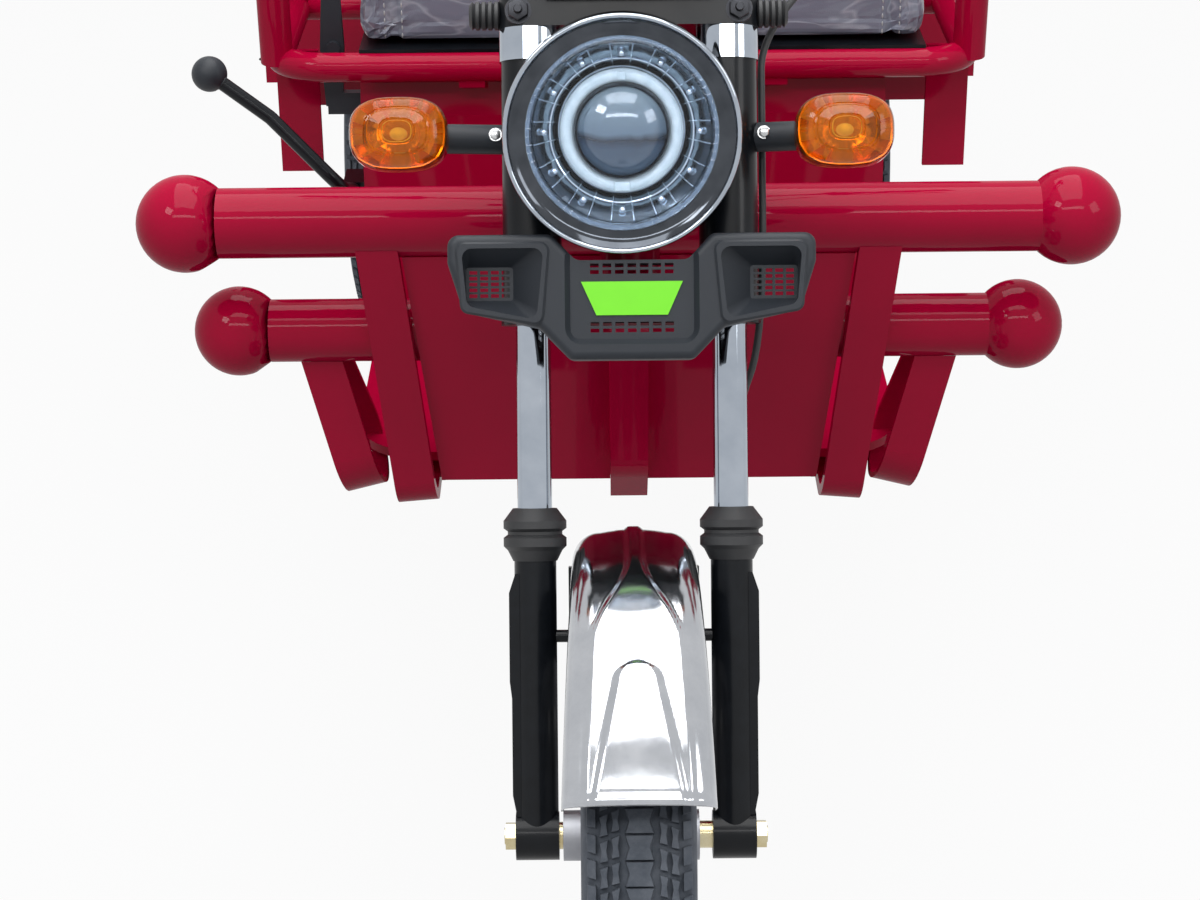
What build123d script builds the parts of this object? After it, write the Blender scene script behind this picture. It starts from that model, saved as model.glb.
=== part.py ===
from build123d import *
from math import cos, radians, sin, sqrt
import os

# Electric cargo tricycle. Millimetres. X runs to the viewer's right when the vehicle is seen
# from the front, Y runs back from the front axle and Z is up from the ground. The last step
# moves every piece along Y so that the origin lies under the middle of the length.

# Whole vehicle
WHEELBASE = 2020
REAR_TRACK = 756
REAR_OVERHANG = 660
TAIL_Y = WHEELBASE + REAR_OVERHANG
RAKE = 25

# Room between pieces
FIT = 0.2
RUN = 0.05
MOVE = 6

# Wheels
TYRE_R = 255
TYRE_W = 102
TYRE_WALL = 9
RIM_R = 152
RIM_W = 84
RIM_WALL = 4
RIM_FLANGE = 14
RIM_WELL = 20
DISC_T = 6
VENT_R = 13
VENT_PITCH = 110
VENT_COUNT = 8
FRONT_HUB_R = 24
FRONT_HUB_X = (-69, 60)
FRONT_DRUM_R = 72
FRONT_DRUM_W = 45
REAR_DRUM_R = 92
REAR_DRUM_W = 58
REAR_CAP_R = 36
REAR_CAP_L = 36
CAP_T = 6
SPINDLE_R = 22

# Front fork, in a frame whose Z runs up the legs from the axle and whose Y runs back
LEG_X = 93.5
AXLE_R = 8
AXLE_HALF = 125
LEG_R = 20
LEG_FOOT_R = 23
LEG_FOOT_X = (73, 114)
LEG_TOP = 262
FIN_OUT = 25
FIN_DEEP = 26
STANCHION_R = 16.5
BOOT_R = 30
BOOT_TOP = 312
STEM_Y = 38
STEM_R = 16
LOWER_CLAMP = (486, 512)
UPPER_CLAMP = (767, 795)
CLAMP_R = 30
COVER_R = 28
COVER_WALL = 3
COLLAR_Z = 736
COLLAR_R = 30
HEAD_R = 29
HEAD_GAP = 3

# Front mudguard
GUARD_R = 288
GUARD_T = 2
GUARD_CORNER = 26
GUARD_FRONT = 38
GUARD_BACK = 176
GUARD_HALF = 60
STAY_X = 57.85
STAY_Z = 190
STAY_TOP = 256

# Headlamp, whose axis points forward and a little up
LAMP_X = -8
LAMP_Y = -96
LAMP_Z = 657
LAMP_TILT = 13
LENS_R = 89
BEZEL_R = 109.5
BEZEL_D = 34
BEZEL_STEP = 7
BEZEL_LIP = 14
BOWL_D = 92
BOWL_T = 3
BOWL_BACK_R = 40
LAMP_LIP = 5
LENS_T = 3
LENS_DOME = 11
HALO_R = 57
PROJECTOR_R = 41
PROJECTOR_DOME = 60

# Turn signals
SIGNAL_X = 208
SIGNAL_Z = 663
SIGNAL_Y = -34
SIGNAL_W = 92
SIGNAL_H = 68
SIGNAL_D = 46
STALK_R = 14

# Front panel
PANEL_Y = (-86, -46)
PANEL_WALL = 3
PANEL_TOP = 566
PANEL_LOW = 450
PANEL_HALF = 170
PANEL_DIP = LAMP_Z - BEZEL_R - 5.5
PANEL_ROUND = 7
SCOOP_D = 22
SCOOP_RIM = 6
RIM_PROUD = 3
RECESS_D = 7
RECESS_HALF = 62
RECESS_LOW = PANEL_LOW + 14
RECESS_SLOPE = 5
GRILLE_W = 44
GRILLE_H = 31
PEG_X = 72
PLATE_T = 1.5

# Handlebar
BAR_R = 11
BAR_Z = 856
BAR_HALF = 360
BAR_RISE = 60
BAR_BACK = 120
CABLE_R = 3.5
PERCH_L = 34
PERCH_R = 20
GRIP_R = 16
GRIP_L = 118

# Bumpers: middle of each tube
UPPER_Y, UPPER_Z, UPPER_R, UPPER_BALL, UPPER_SPAN = 418, 724, 36, 50, 1005
LOWER_Y, LOWER_Z, LOWER_R, LOWER_BALL, LOWER_SPAN = 448, 593, 33, 47, 912

# Leg shield, floor and frame
BEAM_W = 40
SHIELD_T = 4
FLOOR_Z = 440
FLOOR_T = 10
FLOOR_HALF = 298
FLOOR_FRONT = 470
RAIL_X = 230
RAIL_W = 50
RAIL_H = 60
RAIL_FRONT_Z = 400
RAIL_REAR_Z = 530
RAIL_END = TAIL_Y - 80
RAIL_FRONT = 545
RAIL_STEP = (1205, 1305)
# Middle of each crossmember along the rails, and its height
CROSSMEMBERS = ((RAIL_FRONT + 20, RAIL_FRONT_Z), (940, RAIL_FRONT_Z), (1380, RAIL_REAR_Z),
                (WHEELBASE - 300, RAIL_REAR_Z), (WHEELBASE + 420, RAIL_REAR_Z))

# Seat
BOX_HALF = 310
BOX_Y = (870, 1170)
BOX_Z = (FLOOR_Z, 736)
SEAT_RAIL_R = 17
SEAT_RAIL_Z = 760
SEAT_RAIL_Y = (844, 1150)
SEAT_RAIL_HALF = 422
ARM_R = 19
ARM_Z = 930
SEAT_FEET = (-176, 176)
SEAT_FOOT_W = 30
SADDLE_X = (-110, 110)
SADDLE_W = 34
HANGER_X = 387
SADDLE_R = 22
SEAT_BASE_T = 4
BOX_T = 4
CUSHION_X = (-318, 363)
CUSHION_TOP = 868
BACK_Z = (905, 1110)
BACK_R = 13
KNOB = (-BOX_HALF - 156, 743, 784)
KNOB_BEND = (-BOX_HALF - 90, 738, 734)
KNOB_R = 20
LEVER_R = 8
KNOB_BORE_R = 9

# Rear axle, motor and springs
AXLE_TUBE_R = 30
CASE_R = 84
CASE_W = 86
MOTOR_R = 72
MOTOR_X = (-170, 20)
MOTOR_AHEAD = 118
MOTOR_UP = 14
SPRING_Z = 297
SPRING_HALF = 390
SPRING_BEND_R = 890
LEAF_T = 8
LEAF_COUNT = 4
EYE_R = 17
EYE_PIN_R = 8

# Load bed
BED_HALF = 470
BED_Y = (1262, TAIL_Y - 30)
BED_FLOOR_Z = 640
BED_FLOOR_T = 25
BED_WALL = 25
BED_TOP = 968
GATE_T = 24
FLAP_W = 140
FLAP_T = 6
FLAP_LOW = 190
BED_BAYS = 4
BEARER_W = 40
FLAP_BEARER = WHEELBASE + TYRE_R + 5
FIRST_BEARER = BED_Y[0] + 94
BEARER_SPANS = 3
BEARERS = [FIRST_BEARER + span * (FLAP_BEARER - FIRST_BEARER) / BEARER_SPANS
           for span in range(BEARER_SPANS + 1)] + [BED_Y[1] - 90]
GATE_Y = TAIL_Y - 10
GATE_Z = 630
GATE_PIN_R = 6
GATE_BARREL_R = 10
GATE_KNUCKLE = 30
GATE_HINGES = (-330, 0, 330)
LASH_X = 360
LASH_Y = (BED_Y[0] + 218, BED_Y[1] - 210)
LASH_HOLE_R = 5.5
PLATE_PITCH = 100
PLATE_HOLE_R = 3.3
PLATE_Z = RAIL_REAR_Z - 80

FORK = Pos(0, 0, TYRE_R) * Rot(X=-RAKE)
REAR_AXLE = Pos(0, WHEELBASE, TYRE_R)
FRONT_AXLE_Y = TYRE_R - (TYRE_R + TAIL_Y) / 2
MIN = Align.MIN
MID = Align.CENTER


def block(x, y, z):
    """Box between three pairs of faces."""
    size = Box(x[1] - x[0], y[1] - y[0], z[1] - z[0])
    return Pos((x[0] + x[1]) / 2, (y[0] + y[1]) / 2, (z[0] + z[1]) / 2) * size


def rod(start, end, radius):
    """Round bar between two points."""
    run = Vector(*end) - Vector(*start)
    return Plane(origin=start, z_dir=run) * Cylinder(radius, run.length, align=(MID, MID, MIN))


def ring(x, outer, inner):
    """Round sleeve along X between two faces."""
    return rod((x[0], 0, 0), (x[1], 0, 0), outer) - rod((x[0], 0, 0), (x[1], 0, 0), inner)


def swept(points, bend, profile, across=(1, 0, 0)):
    """Bar of one section along straight runs that are joined by bends."""
    path = FilletPolyline(*points, radius=bend)
    return sweep(Plane(origin=path @ 0, x_dir=across, z_dir=path % 0) * profile, path=path)


def turned(edges):
    """Ring turned about X from a profile drawn as (x, radius)."""
    return revolve(make_face(edges), axis=Axis.X)


def mirrored(part):
    """A piece with its mirror image on the other side of the vehicle."""
    return Compound(children=[part, mirror(part, about=Plane.YZ)])


def handed(make, left, right):
    """The left and right versions of a piece that is made for the left side."""
    return Compound(children=[make(left), mirror(make(right), about=Plane.YZ)])


def group(parts):
    """Like pieces that share a node."""
    return Compound(children=list(parts))


def tyre():
    """Hollow carcass with round shoulders, bead to bead."""
    bead = RIM_R + FIT
    lip = RIM_R + RIM_FLANGE + FIT
    edge = RIM_W / 2 - RIM_WALL - FIT
    half = TYRE_W / 2
    shoulder = half - 7
    crown = TYRE_R - 12
    waist = (lip + crown) / 2
    inner = edge - TYRE_WALL
    roof = crown - TYRE_WALL
    return turned([
        Polyline((-inner, lip), (-inner, bead), (-edge, bead), (-edge, lip)),
        ThreePointArc((-edge, lip), (-half, waist), (-shoulder, crown)),
        ThreePointArc((-shoulder, crown), (0, TYRE_R), (shoulder, crown)),
        ThreePointArc((shoulder, crown), (half, waist), (edge, lip)),
        Polyline((edge, lip), (edge, bead), (inner, bead), (inner, lip)),
        ThreePointArc((inner, lip), (half - TYRE_WALL, waist), (shoulder - TYRE_WALL, roof)),
        ThreePointArc((shoulder - TYRE_WALL, roof), (0, TYRE_R - TYRE_WALL), (TYRE_WALL - shoulder, roof)),
        ThreePointArc((TYRE_WALL - shoulder, roof), (TYRE_WALL - half, waist), (-inner, lip)),
    ])


def rim():
    """Drop-centre rim with a vented disc."""
    half = RIM_W / 2
    lip = RIM_R + RIM_FLANGE
    well = RIM_R - RIM_WELL
    shelf = half - 18
    base = shelf - 10
    outer = [(-half, lip), (RIM_WALL - half, lip), (RIM_WALL - half, RIM_R), (-shelf, RIM_R), (-base, well)]
    inner = [(base + 2, well - RIM_WALL), (shelf + 2, RIM_R - RIM_WALL), (half, RIM_R - RIM_WALL)]
    points = outer + [(-x, r) for x, r in reversed(outer)]
    points += list(reversed(inner)) + [(-x, r) for x, r in inner]
    barrel = revolve(make_face(Polyline(*points, close=True)), axis=Axis.X)
    disc = rod((0, 0, 0), (DISC_T, 0, 0), well - RIM_WALL / 2)
    for turn in range(VENT_COUNT):
        vent = Rot(X=360 * turn / VENT_COUNT) * Pos(DISC_T / 2, 0, VENT_PITCH) * Rot(Y=90)
        disc -= vent * Cylinder(VENT_R, 2 * DISC_T)
    return barrel + disc


def front_wheel():
    """Rim with its hub barrel and brake drum, bored for the axle."""
    drum = rod((-FRONT_DRUM_W, 0, 0), (0, 0, 0), FRONT_DRUM_R)
    barrel = rod((FRONT_HUB_X[0], 0, 0), (FRONT_HUB_X[1], 0, 0), FRONT_HUB_R)
    return rim() + drum + barrel - rod((-AXLE_HALF, 0, 0), (AXLE_HALF, 0, 0), AXLE_R + RUN)


def rear_wheel():
    """Rim with brake drum and hub cap, blind bored for the spindle, outer side towards +X."""
    drum = rod((-REAR_DRUM_W, 0, 0), (0, 0, 0), REAR_DRUM_R)
    cap = rod((0, 0, 0), (REAR_CAP_L, 0, 0), REAR_CAP_R)
    bore = rod((-REAR_DRUM_W, 0, 0), (REAR_CAP_L - CAP_T, 0, 0), SPINDLE_R + RUN)
    return rim() + drum + cap - bore


def lower_leg():
    """Cast lower leg with its faceted fin, the axle foot and the mudguard lug."""
    leg = Pos(LEG_X, 0, 0) * Cylinder(LEG_R, LEG_TOP, align=(MID, MID, MIN))
    foot = rod((LEG_FOOT_X[0], 0, 0), (LEG_FOOT_X[1], 0, 0), LEG_FOOT_R)
    outline = [(0, 20), (FIN_OUT - 6, 20), (FIN_OUT - 2, 40), (FIN_OUT - 2, 132), (FIN_OUT, 148),
               (FIN_OUT, 232), (FIN_OUT - 6, 250), (0, 250)]
    fin = extrude(Plane.XZ * make_face(Polyline(*outline, close=True)), amount=FIN_DEEP / 2, both=True)
    lug = rod((STAY_X + 1, 0, STAY_Z), (LEG_X, 0, STAY_Z), 6)
    stay = block((STAY_X, STAY_X + 4), (-14, 14), (STAY_Z - 9, STAY_TOP))
    leg = leg + foot + Pos(LEG_X, 0, 0) * fin + lug + stay
    leg -= Pos(LEG_X, 0, 40) * Cylinder(STANCHION_R + FIT, LEG_TOP, align=(MID, MID, MIN))
    return leg - rod((LEG_FOOT_X[0] - 1, 0, 0), (LEG_FOOT_X[1] + 1, 0, 0), AXLE_R + FIT)


def boot():
    """Rubber dust boot with two ridges above the lower leg."""
    bore = STANCHION_R + FIT
    low = LEG_TOP
    profile = Polyline(
        (bore, low), (LEG_R + 1, low), (BOOT_R - 4, low + 10), (BOOT_R, low + 14), (BOOT_R, low + 22),
        (BOOT_R - 4, low + 25), (BOOT_R - 4, low + 28), (BOOT_R, low + 31), (BOOT_R, low + 38),
        (BOOT_R - 9, BOOT_TOP), (bore, BOOT_TOP), close=True)
    return Pos(LEG_X, 0, 0) * revolve(Plane.XZ * make_face(profile), axis=Axis.Z)


def clamp(span):
    """Fork bridge that grips both stanchions."""
    legs = Sketch() + [Pos(side * LEG_X, 0) * Circle(CLAMP_R) for side in (-1, 1)]
    plate = make_hull((legs + Pos(0, STEM_Y) * Circle(CLAMP_R)).edges())
    plate -= Sketch() + [Pos(side * LEG_X, 0) * Circle(STANCHION_R + FIT) for side in (-1, 1)]
    return Pos(0, 0, span[0]) * extrude(plate, amount=span[1] - span[0])


def steering_stem():
    """Both fork bridges on one stem that turns in the head tube."""
    stem = Pos(0, STEM_Y, LOWER_CLAMP[0]) * Cylinder(
        STEM_R, UPPER_CLAMP[1] - LOWER_CLAMP[0], align=(MID, MID, MIN))
    risers = [block((x - 14, x + 14), (STEM_Y - 16, STEM_Y + 16), (UPPER_CLAMP[1], BAR_Z + 16))
              for x in (-48, 48)]
    bridge = clamp(LOWER_CLAMP) + clamp(UPPER_CLAMP) + stem + risers
    return bridge - rod((-80, STEM_Y, BAR_Z), (80, STEM_Y, BAR_Z), BAR_R + FIT)


def mudguard():
    """Pressed guard that narrows towards the back, swept round the axle."""
    def place(angle):
        a = radians(angle)
        return (0, -GUARD_R * cos(a), GUARD_R * sin(a))

    def section(angle, half, skirt):
        a = radians(angle)
        frame = Plane(origin=place(angle), x_dir=(1, 0, 0), z_dir=(0, -sin(a), -cos(a)))
        edges = []
        for inset, sign in ((0, 1), (GUARD_T, -1)):
            side = half - inset
            round_r = GUARD_CORNER - inset
            cut = round_r * (1 - sqrt(0.5))
            top = -inset
            flat = side - round_r
            edges += [
                Line((-side, -skirt), (-side, -GUARD_CORNER)),
                ThreePointArc((-side, -GUARD_CORNER), (cut - side, top - cut), (-flat, top)),
                ThreePointArc((-flat, top), (0, top + 3), (flat, top)),
                ThreePointArc((flat, top), (side - cut, top - cut), (side, -GUARD_CORNER)),
                Line((side, -GUARD_CORNER), (side, -skirt)),
            ]
        edges += [Line((-half, -skirt), (GUARD_T - half, -skirt)),
                  Line((half - GUARD_T, -skirt), (half, -skirt))]
        return frame * make_face(edges)

    middle = (GUARD_FRONT + GUARD_BACK) / 2
    path = ThreePointArc(place(GUARD_FRONT), place(middle), place(GUARD_BACK))
    sections = [section(GUARD_FRONT, GUARD_HALF + 7, 38), section(62, GUARD_HALF + 3, 48),
                section(84, GUARD_HALF, 55), section(GUARD_BACK, GUARD_HALF, 55)]
    return sweep(sections=sections, path=path, multisection=True)


def signal_lens(reach):
    """Oval amber lens with a soft front edge."""
    oval = extrude(Plane.XZ * Ellipse(SIGNAL_W / 2, SIGNAL_H / 2), amount=SIGNAL_D)
    front = oval.faces().sort_by(Axis.Y)[0]
    return Pos(reach, SIGNAL_Y, SIGNAL_Z) * fillet(front.edges(), 16)


def signal_stalk(reach):
    """Backing cup and the arm to the fork cover."""
    cup = extrude(Plane.XZ * Ellipse(SIGNAL_W / 2 - 2, SIGNAL_H / 2 - 2), amount=-12)
    cup = Pos(reach, SIGNAL_Y, SIGNAL_Z) * cup
    arm = rod((LEG_X + COVER_R - 6, 0, SIGNAL_Z), (reach - 30, SIGNAL_Y + 20, SIGNAL_Z), STALK_R)
    neck = rod((reach - 40, SIGNAL_Y + 14, SIGNAL_Z), (reach, SIGNAL_Y + 6, SIGNAL_Z), STALK_R - 4)
    stalk = cup + arm + neck
    stalk -= Pos(reach, SIGNAL_Y, SIGNAL_Z) * extrude(Plane.XZ * Ellipse(SIGNAL_W, SIGNAL_H), amount=SIGNAL_D)
    return stalk - Pos(LEG_X, 0, SIGNAL_Z) * Cylinder(COVER_R + FIT, 4 * STALK_R)


def headlamp():
    """Lamp pieces by name, about an axis that points along -Y."""
    seat = LENS_R + 10
    shell = seat + BOWL_T
    back = BOWL_D - BOWL_T
    skirt = BEZEL_D - 12
    waist = 0.66 * BOWL_D
    bowl = revolve(make_face([
        Line((shell, LAMP_LIP), (shell, skirt)),
        ThreePointArc((shell, skirt), (shell - 24, waist), (BOWL_BACK_R, BOWL_D)),
        Polyline((BOWL_BACK_R, BOWL_D), (0, BOWL_D), (0, back), (BOWL_BACK_R - BOWL_T, back)),
        ThreePointArc((BOWL_BACK_R - BOWL_T, back), (seat - 24, waist - BOWL_T), (seat, skirt)),
        Polyline((seat, skirt), (seat, LAMP_LIP), (shell, LAMP_LIP)),
    ]), axis=Axis.Y)
    groove = shell + FIT
    rolled = BEZEL_R - 4
    bezel = revolve(make_face([
        Line((LENS_R, 0), (LENS_R, -BEZEL_STEP)),
        ThreePointArc((LENS_R, -BEZEL_STEP), (LENS_R + 11, -BEZEL_STEP - 2), (rolled, -BEZEL_LIP)),
        ThreePointArc((rolled, -BEZEL_LIP), (BEZEL_R - 1, -BEZEL_LIP - 1), (BEZEL_R, 2 - BEZEL_LIP)),
        Polyline((BEZEL_R, 2 - BEZEL_LIP), (BEZEL_R, BEZEL_D - 16), (groove, BEZEL_D - 16),
                 (groove, 0), (LENS_R, 0)),
    ]), axis=Axis.Y)
    glass = LENS_R - FIT
    dome_r = (glass ** 2 + LENS_DOME ** 2) / (2 * LENS_DOME)
    centre = Pos(0, dome_r - LENS_DOME - LENS_T, 0)
    lens = rod((0, 0, 0), (0, -LENS_DOME - LENS_T, 0), glass) & centre * Sphere(dome_r)
    lens -= centre * Sphere(dome_r - LENS_T)
    floor = LAMP_LIP + 26
    reflector = revolve(make_face(Polyline(
        (0, floor), (HALO_R + 2, floor), (LENS_R - 4, FIT), (shell, FIT), (shell, LAMP_LIP - FIT),
        (LENS_R - 2, LAMP_LIP - FIT), (HALO_R + 2, floor + 4), (0, floor + 4), close=True)), axis=Axis.Y)
    sag = sqrt(PROJECTOR_DOME ** 2 - PROJECTOR_R ** 2)
    barrel = rod((0, floor, 0), (0, 0, 0), PROJECTOR_R)
    projector = barrel & Pos(0, floor - 14 + sag, 0) * Sphere(PROJECTOR_DOME)
    return {"headlamp_bowl": bowl, "headlamp_bezel": bezel, "headlamp_lens": lens,
            "headlamp_reflector": reflector, "headlamp_projector": projector}


def fork_cover(lamp_shift):
    """Sleeve round the upper stanchion with an ear to the side of the lamp."""
    inner = LENS_R + 10 + BOWL_T + FIT + lamp_shift
    length = COLLAR_Z - LOWER_CLAMP[1]
    ear = block((inner, inner + 5), (LAMP_Y + 24, 0), (LAMP_Z - 14, LAMP_Z + 14))
    sleeve = Pos(LEG_X, 0, LOWER_CLAMP[1]) * Cylinder(COVER_R, length, align=(MID, MID, MIN)) + ear
    bore = Cylinder(COVER_R - COVER_WALL, length, align=(MID, MID, MIN))
    return sleeve - Pos(LEG_X, 0, LOWER_CLAMP[1]) * bore


def panel_front(depth=0):
    """Plane of the panel's face, or of a place behind it, seen from the front."""
    return Plane(origin=(0, PANEL_Y[0] + depth, 0), x_dir=(1, 0, 0), z_dir=(0, -1, 0))


def rounded(points, radius):
    """Closed outline whose corners are all rounded."""
    face = make_face(Polyline(*points, close=True))
    return fillet(face.vertices(), radius)


def panel_recess(grow):
    """Shallow dish in the middle of the panel, with sloped walls, open at the top."""
    def outline(inset, radius):
        side = RECESS_HALF - inset + grow
        low = RECESS_LOW + inset - grow
        return Pos(0, (low + PANEL_TOP) / 2) * RectangleRounded(2 * side, PANEL_TOP - low, radius)

    return loft([panel_front() * outline(0, 16), panel_front(RECESS_D + grow) * outline(RECESS_SLOPE, 9)])


def scoop_mouth(grow):
    """Outline of a scoop's mouth on the panel's face."""
    inner, outer, top = PANEL_HALF - 89 - grow, PANEL_HALF - 13 + grow, PANEL_TOP - 13 + grow
    low = PANEL_TOP - 66 - grow
    return rounded([(inner, top), (outer, top), (outer - 5, low), (inner + 7, low - 13)], 9)


def grille_middle():
    """Place of a slot grille, towards the outer side of its scoop."""
    return PANEL_HALF - 38, PANEL_TOP - 44.5


def panel_scoop(grow):
    """Funnel from the mouth down to the slot grille."""
    x, z = grille_middle()
    throat = Pos(x, z) * RectangleRounded(GRILLE_W + 2 * grow, GRILLE_H + 2 * grow, 3)
    return loft([panel_front() * scoop_mouth(grow), panel_front(SCOOP_D + grow) * throat])


def front_panel():
    """Moulded panel with two funnel scoops, slot grilles and a dished centre."""
    half = [(57, PANEL_LOW), (86, PANEL_LOW + 30), (PANEL_HALF - 14, PANEL_TOP - 70),
            (PANEL_HALF, PANEL_TOP - 26), (PANEL_HALF, PANEL_TOP), (74, PANEL_TOP), (52, PANEL_DIP)]
    outline = rounded(half + [(-x, z) for x, z in reversed(half)], 11)
    depth = PANEL_Y[1] - PANEL_Y[0]
    shape = panel_front() * extrude(outline, amount=-depth)
    shape = fillet(shape.faces().sort_by(Axis.Y)[0].edges(), PANEL_ROUND)
    inner = offset(outline, -PANEL_WALL, kind=Kind.INTERSECTION)
    body = shape - panel_front(PANEL_ROUND) * extrude(inner, amount=-depth)
    rim = panel_front() * extrude(scoop_mouth(SCOOP_RIM), amount=RIM_PROUD)
    rim = chamfer(rim.faces().sort_by(Axis.Y)[0].edges(), RIM_PROUD - 1)
    body += panel_recess(PANEL_WALL) & shape
    for side in (rim, panel_scoop(PANEL_WALL)):
        body = body + side + mirror(side, about=Plane.YZ)
    mouth = panel_scoop(0) + panel_front() * extrude(scoop_mouth(0), amount=2 * RIM_PROUD)
    grille = Pos(*grille_middle()) * GridLocations(10, 5.4, 4, 5) * Rectangle(7.4, 3.4)
    grille = panel_front(SCOOP_D + 8) * extrude(Sketch() + grille, amount=16)
    for cut in (mouth, grille):
        body = body - cut - mirror(cut, about=Plane.YZ)
    body -= panel_recess(0)
    for z in (PANEL_DIP - 8, RECESS_LOW + 16):
        slots = Pos(0, z) * GridLocations(11.5, 6, 7, 2) * Rectangle(8, 3.6)
        body -= panel_front(RECESS_D + 10) * extrude(Sketch() + slots, amount=20)
    peg_z = sum(LOWER_CLAMP) / 2
    for x in (-PEG_X, PEG_X):
        body += rod((x, PANEL_Y[0] + PANEL_ROUND - 1, peg_z), (x, -CLAMP_R - FIT, peg_z), 7)
    return body


def panel_plate():
    """Bare coloured trapezoid on the dish of the panel."""
    top, low = RECESS_LOW + 58, RECESS_LOW + 27
    face = make_face(Polyline((-47, top), (47, top), (33, low), (-33, low), close=True))
    return panel_front(RECESS_D) * extrude(face, amount=PLATE_T)


def instrument():
    """Instrument pod on top of the upper bridge."""
    pod = block((-78, 78), (-74, -8), (UPPER_CLAMP[1], UPPER_CLAMP[1] + 46))
    return fillet(pod.edges().filter_by(Axis.X), 12)


def handlebar_points():
    """Half of the bar's run from the grip end to the middle."""
    top = BAR_Z + BAR_RISE
    return [(BAR_HALF, STEM_Y + BAR_BACK, top), (190, STEM_Y + 40, top), (110, STEM_Y, BAR_Z)]


def handlebar_run(radius):
    """Bar of one radius from grip to grip."""
    half = handlebar_points()
    return swept(half + [(-x, y, z) for x, y, z in reversed(half)], 40, Circle(radius), across=(0, 1, 0))


def lever_perch():
    """Start and direction of the lever clamp on the bar, inboard of the grip."""
    end, knee = [Vector(*p) for p in handlebar_points()[:2]]
    run = (knee - end).normalized()
    return end + run * (GRIP_L + 2), run


def lever():
    """Brake lever with its clamp and switch housing."""
    perch, run = lever_perch()
    middle = perch + run * PERCH_L / 2
    pivot = middle + Vector(0, -30, 4)
    tip = Vector(*handlebar_points()[0]) + Vector(-6, -52, 4)
    body = rod(perch, perch + run * PERCH_L, PERCH_R) + rod(middle, pivot, 8)
    body += rod(pivot, tip, 5) + Pos(*pivot) * Sphere(8) + Pos(*tip) * Sphere(7)
    return body - handlebar_run(BAR_R + FIT)


def mirror_arm():
    """Mirror on a stem that stands on the lever clamp."""
    perch, run = lever_perch()
    foot = perch + run * PERCH_L / 2
    knee = foot + Vector(0, 0, 60)
    top = foot + Vector(40, 16, 120)
    face = Plane(origin=top + Vector(14, 12, 6), x_dir=(1, 0, 0), z_dir=(0, -1, 0))
    arm = rod(foot, knee, 5) + Pos(*knee) * Sphere(5) + rod(knee, top, 5)
    arm += face * extrude(RectangleRounded(112, 74, 30), amount=22)
    return arm - rod(perch - run * PERCH_L, perch + run * 2 * PERCH_L, PERCH_R + FIT)


def brake_cable():
    """Cable from the lever down the outside of the fork to the lower leg."""
    side = LEG_X + CLAMP_R + CABLE_R + FIT
    rear = LEG_R + CABLE_R + FIT
    points = [(214, 46, BAR_Z + 34), (190, 30, BAR_Z - 20), (side, 24, 760), (side, 19, 700), (side, 19, 470),
              (LEG_X + 6, 40, 400), (LEG_X, 40, 258), (LEG_X, rear, 230), (LEG_X, rear, 150)]
    return swept(points, 16, Circle(CABLE_R))


def grips():
    """Rubber grips over both ends of the bar."""
    end, knee = [Vector(*p) for p in handlebar_points()[:2]]
    run = (knee - end).normalized()
    outer = rod(end - run * 4, end + run * GRIP_L, GRIP_R)
    return mirrored(outer - rod(end - run * FIT, end + run * (GRIP_L + 1), BAR_R + FIT))


def bumper(y, z, radius, ball, span):
    """Round bumper tube with a ball on each end."""
    reach = span / 2 - ball
    tube = rod((-reach, y, z), (reach, y, z), radius)
    return tube + [Pos(side * reach, y, z) * Sphere(ball) for side in (-1, 1)]


def beam():
    """Box beam from the head tube down the middle of the leg shield."""
    points = [(0, 318, 836), (0, 392, 712), (0, 428, 450), (0, FLOOR_FRONT, 404)]
    return swept(points, 30, Rectangle(BEAM_W, 36))


def main_frame():
    """Head tube and down beam, welded to the upper bumper tube."""
    height = UPPER_CLAMP[0] - LOWER_CLAMP[1] - 2 * HEAD_GAP
    bottom = Pos(0, STEM_Y, LOWER_CLAMP[1] + HEAD_GAP)
    tube = FORK * bottom * Cylinder(HEAD_R, height, align=(MID, MID, MIN))
    bore = FORK * bottom * Cylinder(STEM_R + RUN, height, align=(MID, MID, MIN))
    neck = tube + beam() - bore
    for y, z, radius in ((UPPER_Y, UPPER_Z, UPPER_R), (LOWER_Y, LOWER_Z, LOWER_R)):
        neck -= rod((-BEAM_W, y, z), (BEAM_W, y, z), radius + FIT)
    return neck - block((-BEAM_W, BEAM_W), (FLOOR_FRONT, FLOOR_FRONT + 100), (300, 500))


def frame_rail():
    """Side rail that steps up over the rear axle."""
    points = [(RAIL_X, RAIL_FRONT, RAIL_FRONT_Z), (RAIL_X, RAIL_STEP[0], RAIL_FRONT_Z),
              (RAIL_X, RAIL_STEP[1], RAIL_REAR_Z), (RAIL_X, RAIL_END, RAIL_REAR_Z)]
    return swept(points, 50, Rectangle(RAIL_W, RAIL_H)) + spring_hanger(-1) + spring_hanger(1)


def shield_bar():
    """Flat bar beside the shield that curls back to the side rail."""
    points = [(258, 392, UPPER_Z), (227, 426, RAIL_FRONT_Z), (227, RAIL_FRONT - FIT, RAIL_FRONT_Z)]
    bar = swept(points, 30, Rectangle(43, 12))
    return bar - rod((0, UPPER_Y, UPPER_Z), (400, UPPER_Y, UPPER_Z), UPPER_R + FIT)


def hoop():
    """Flat bar loop that hangs from the lower bumper tube."""
    points = [(330, 436, LOWER_Z), (283, 428, 404), (283, 548, 404), (330, 470, LOWER_Z)]
    loop = swept(points, 48, Rectangle(42, 6))
    return loop - rod((0, LOWER_Y, LOWER_Z), (500, LOWER_Y, LOWER_Z), LOWER_R + FIT)


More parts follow.
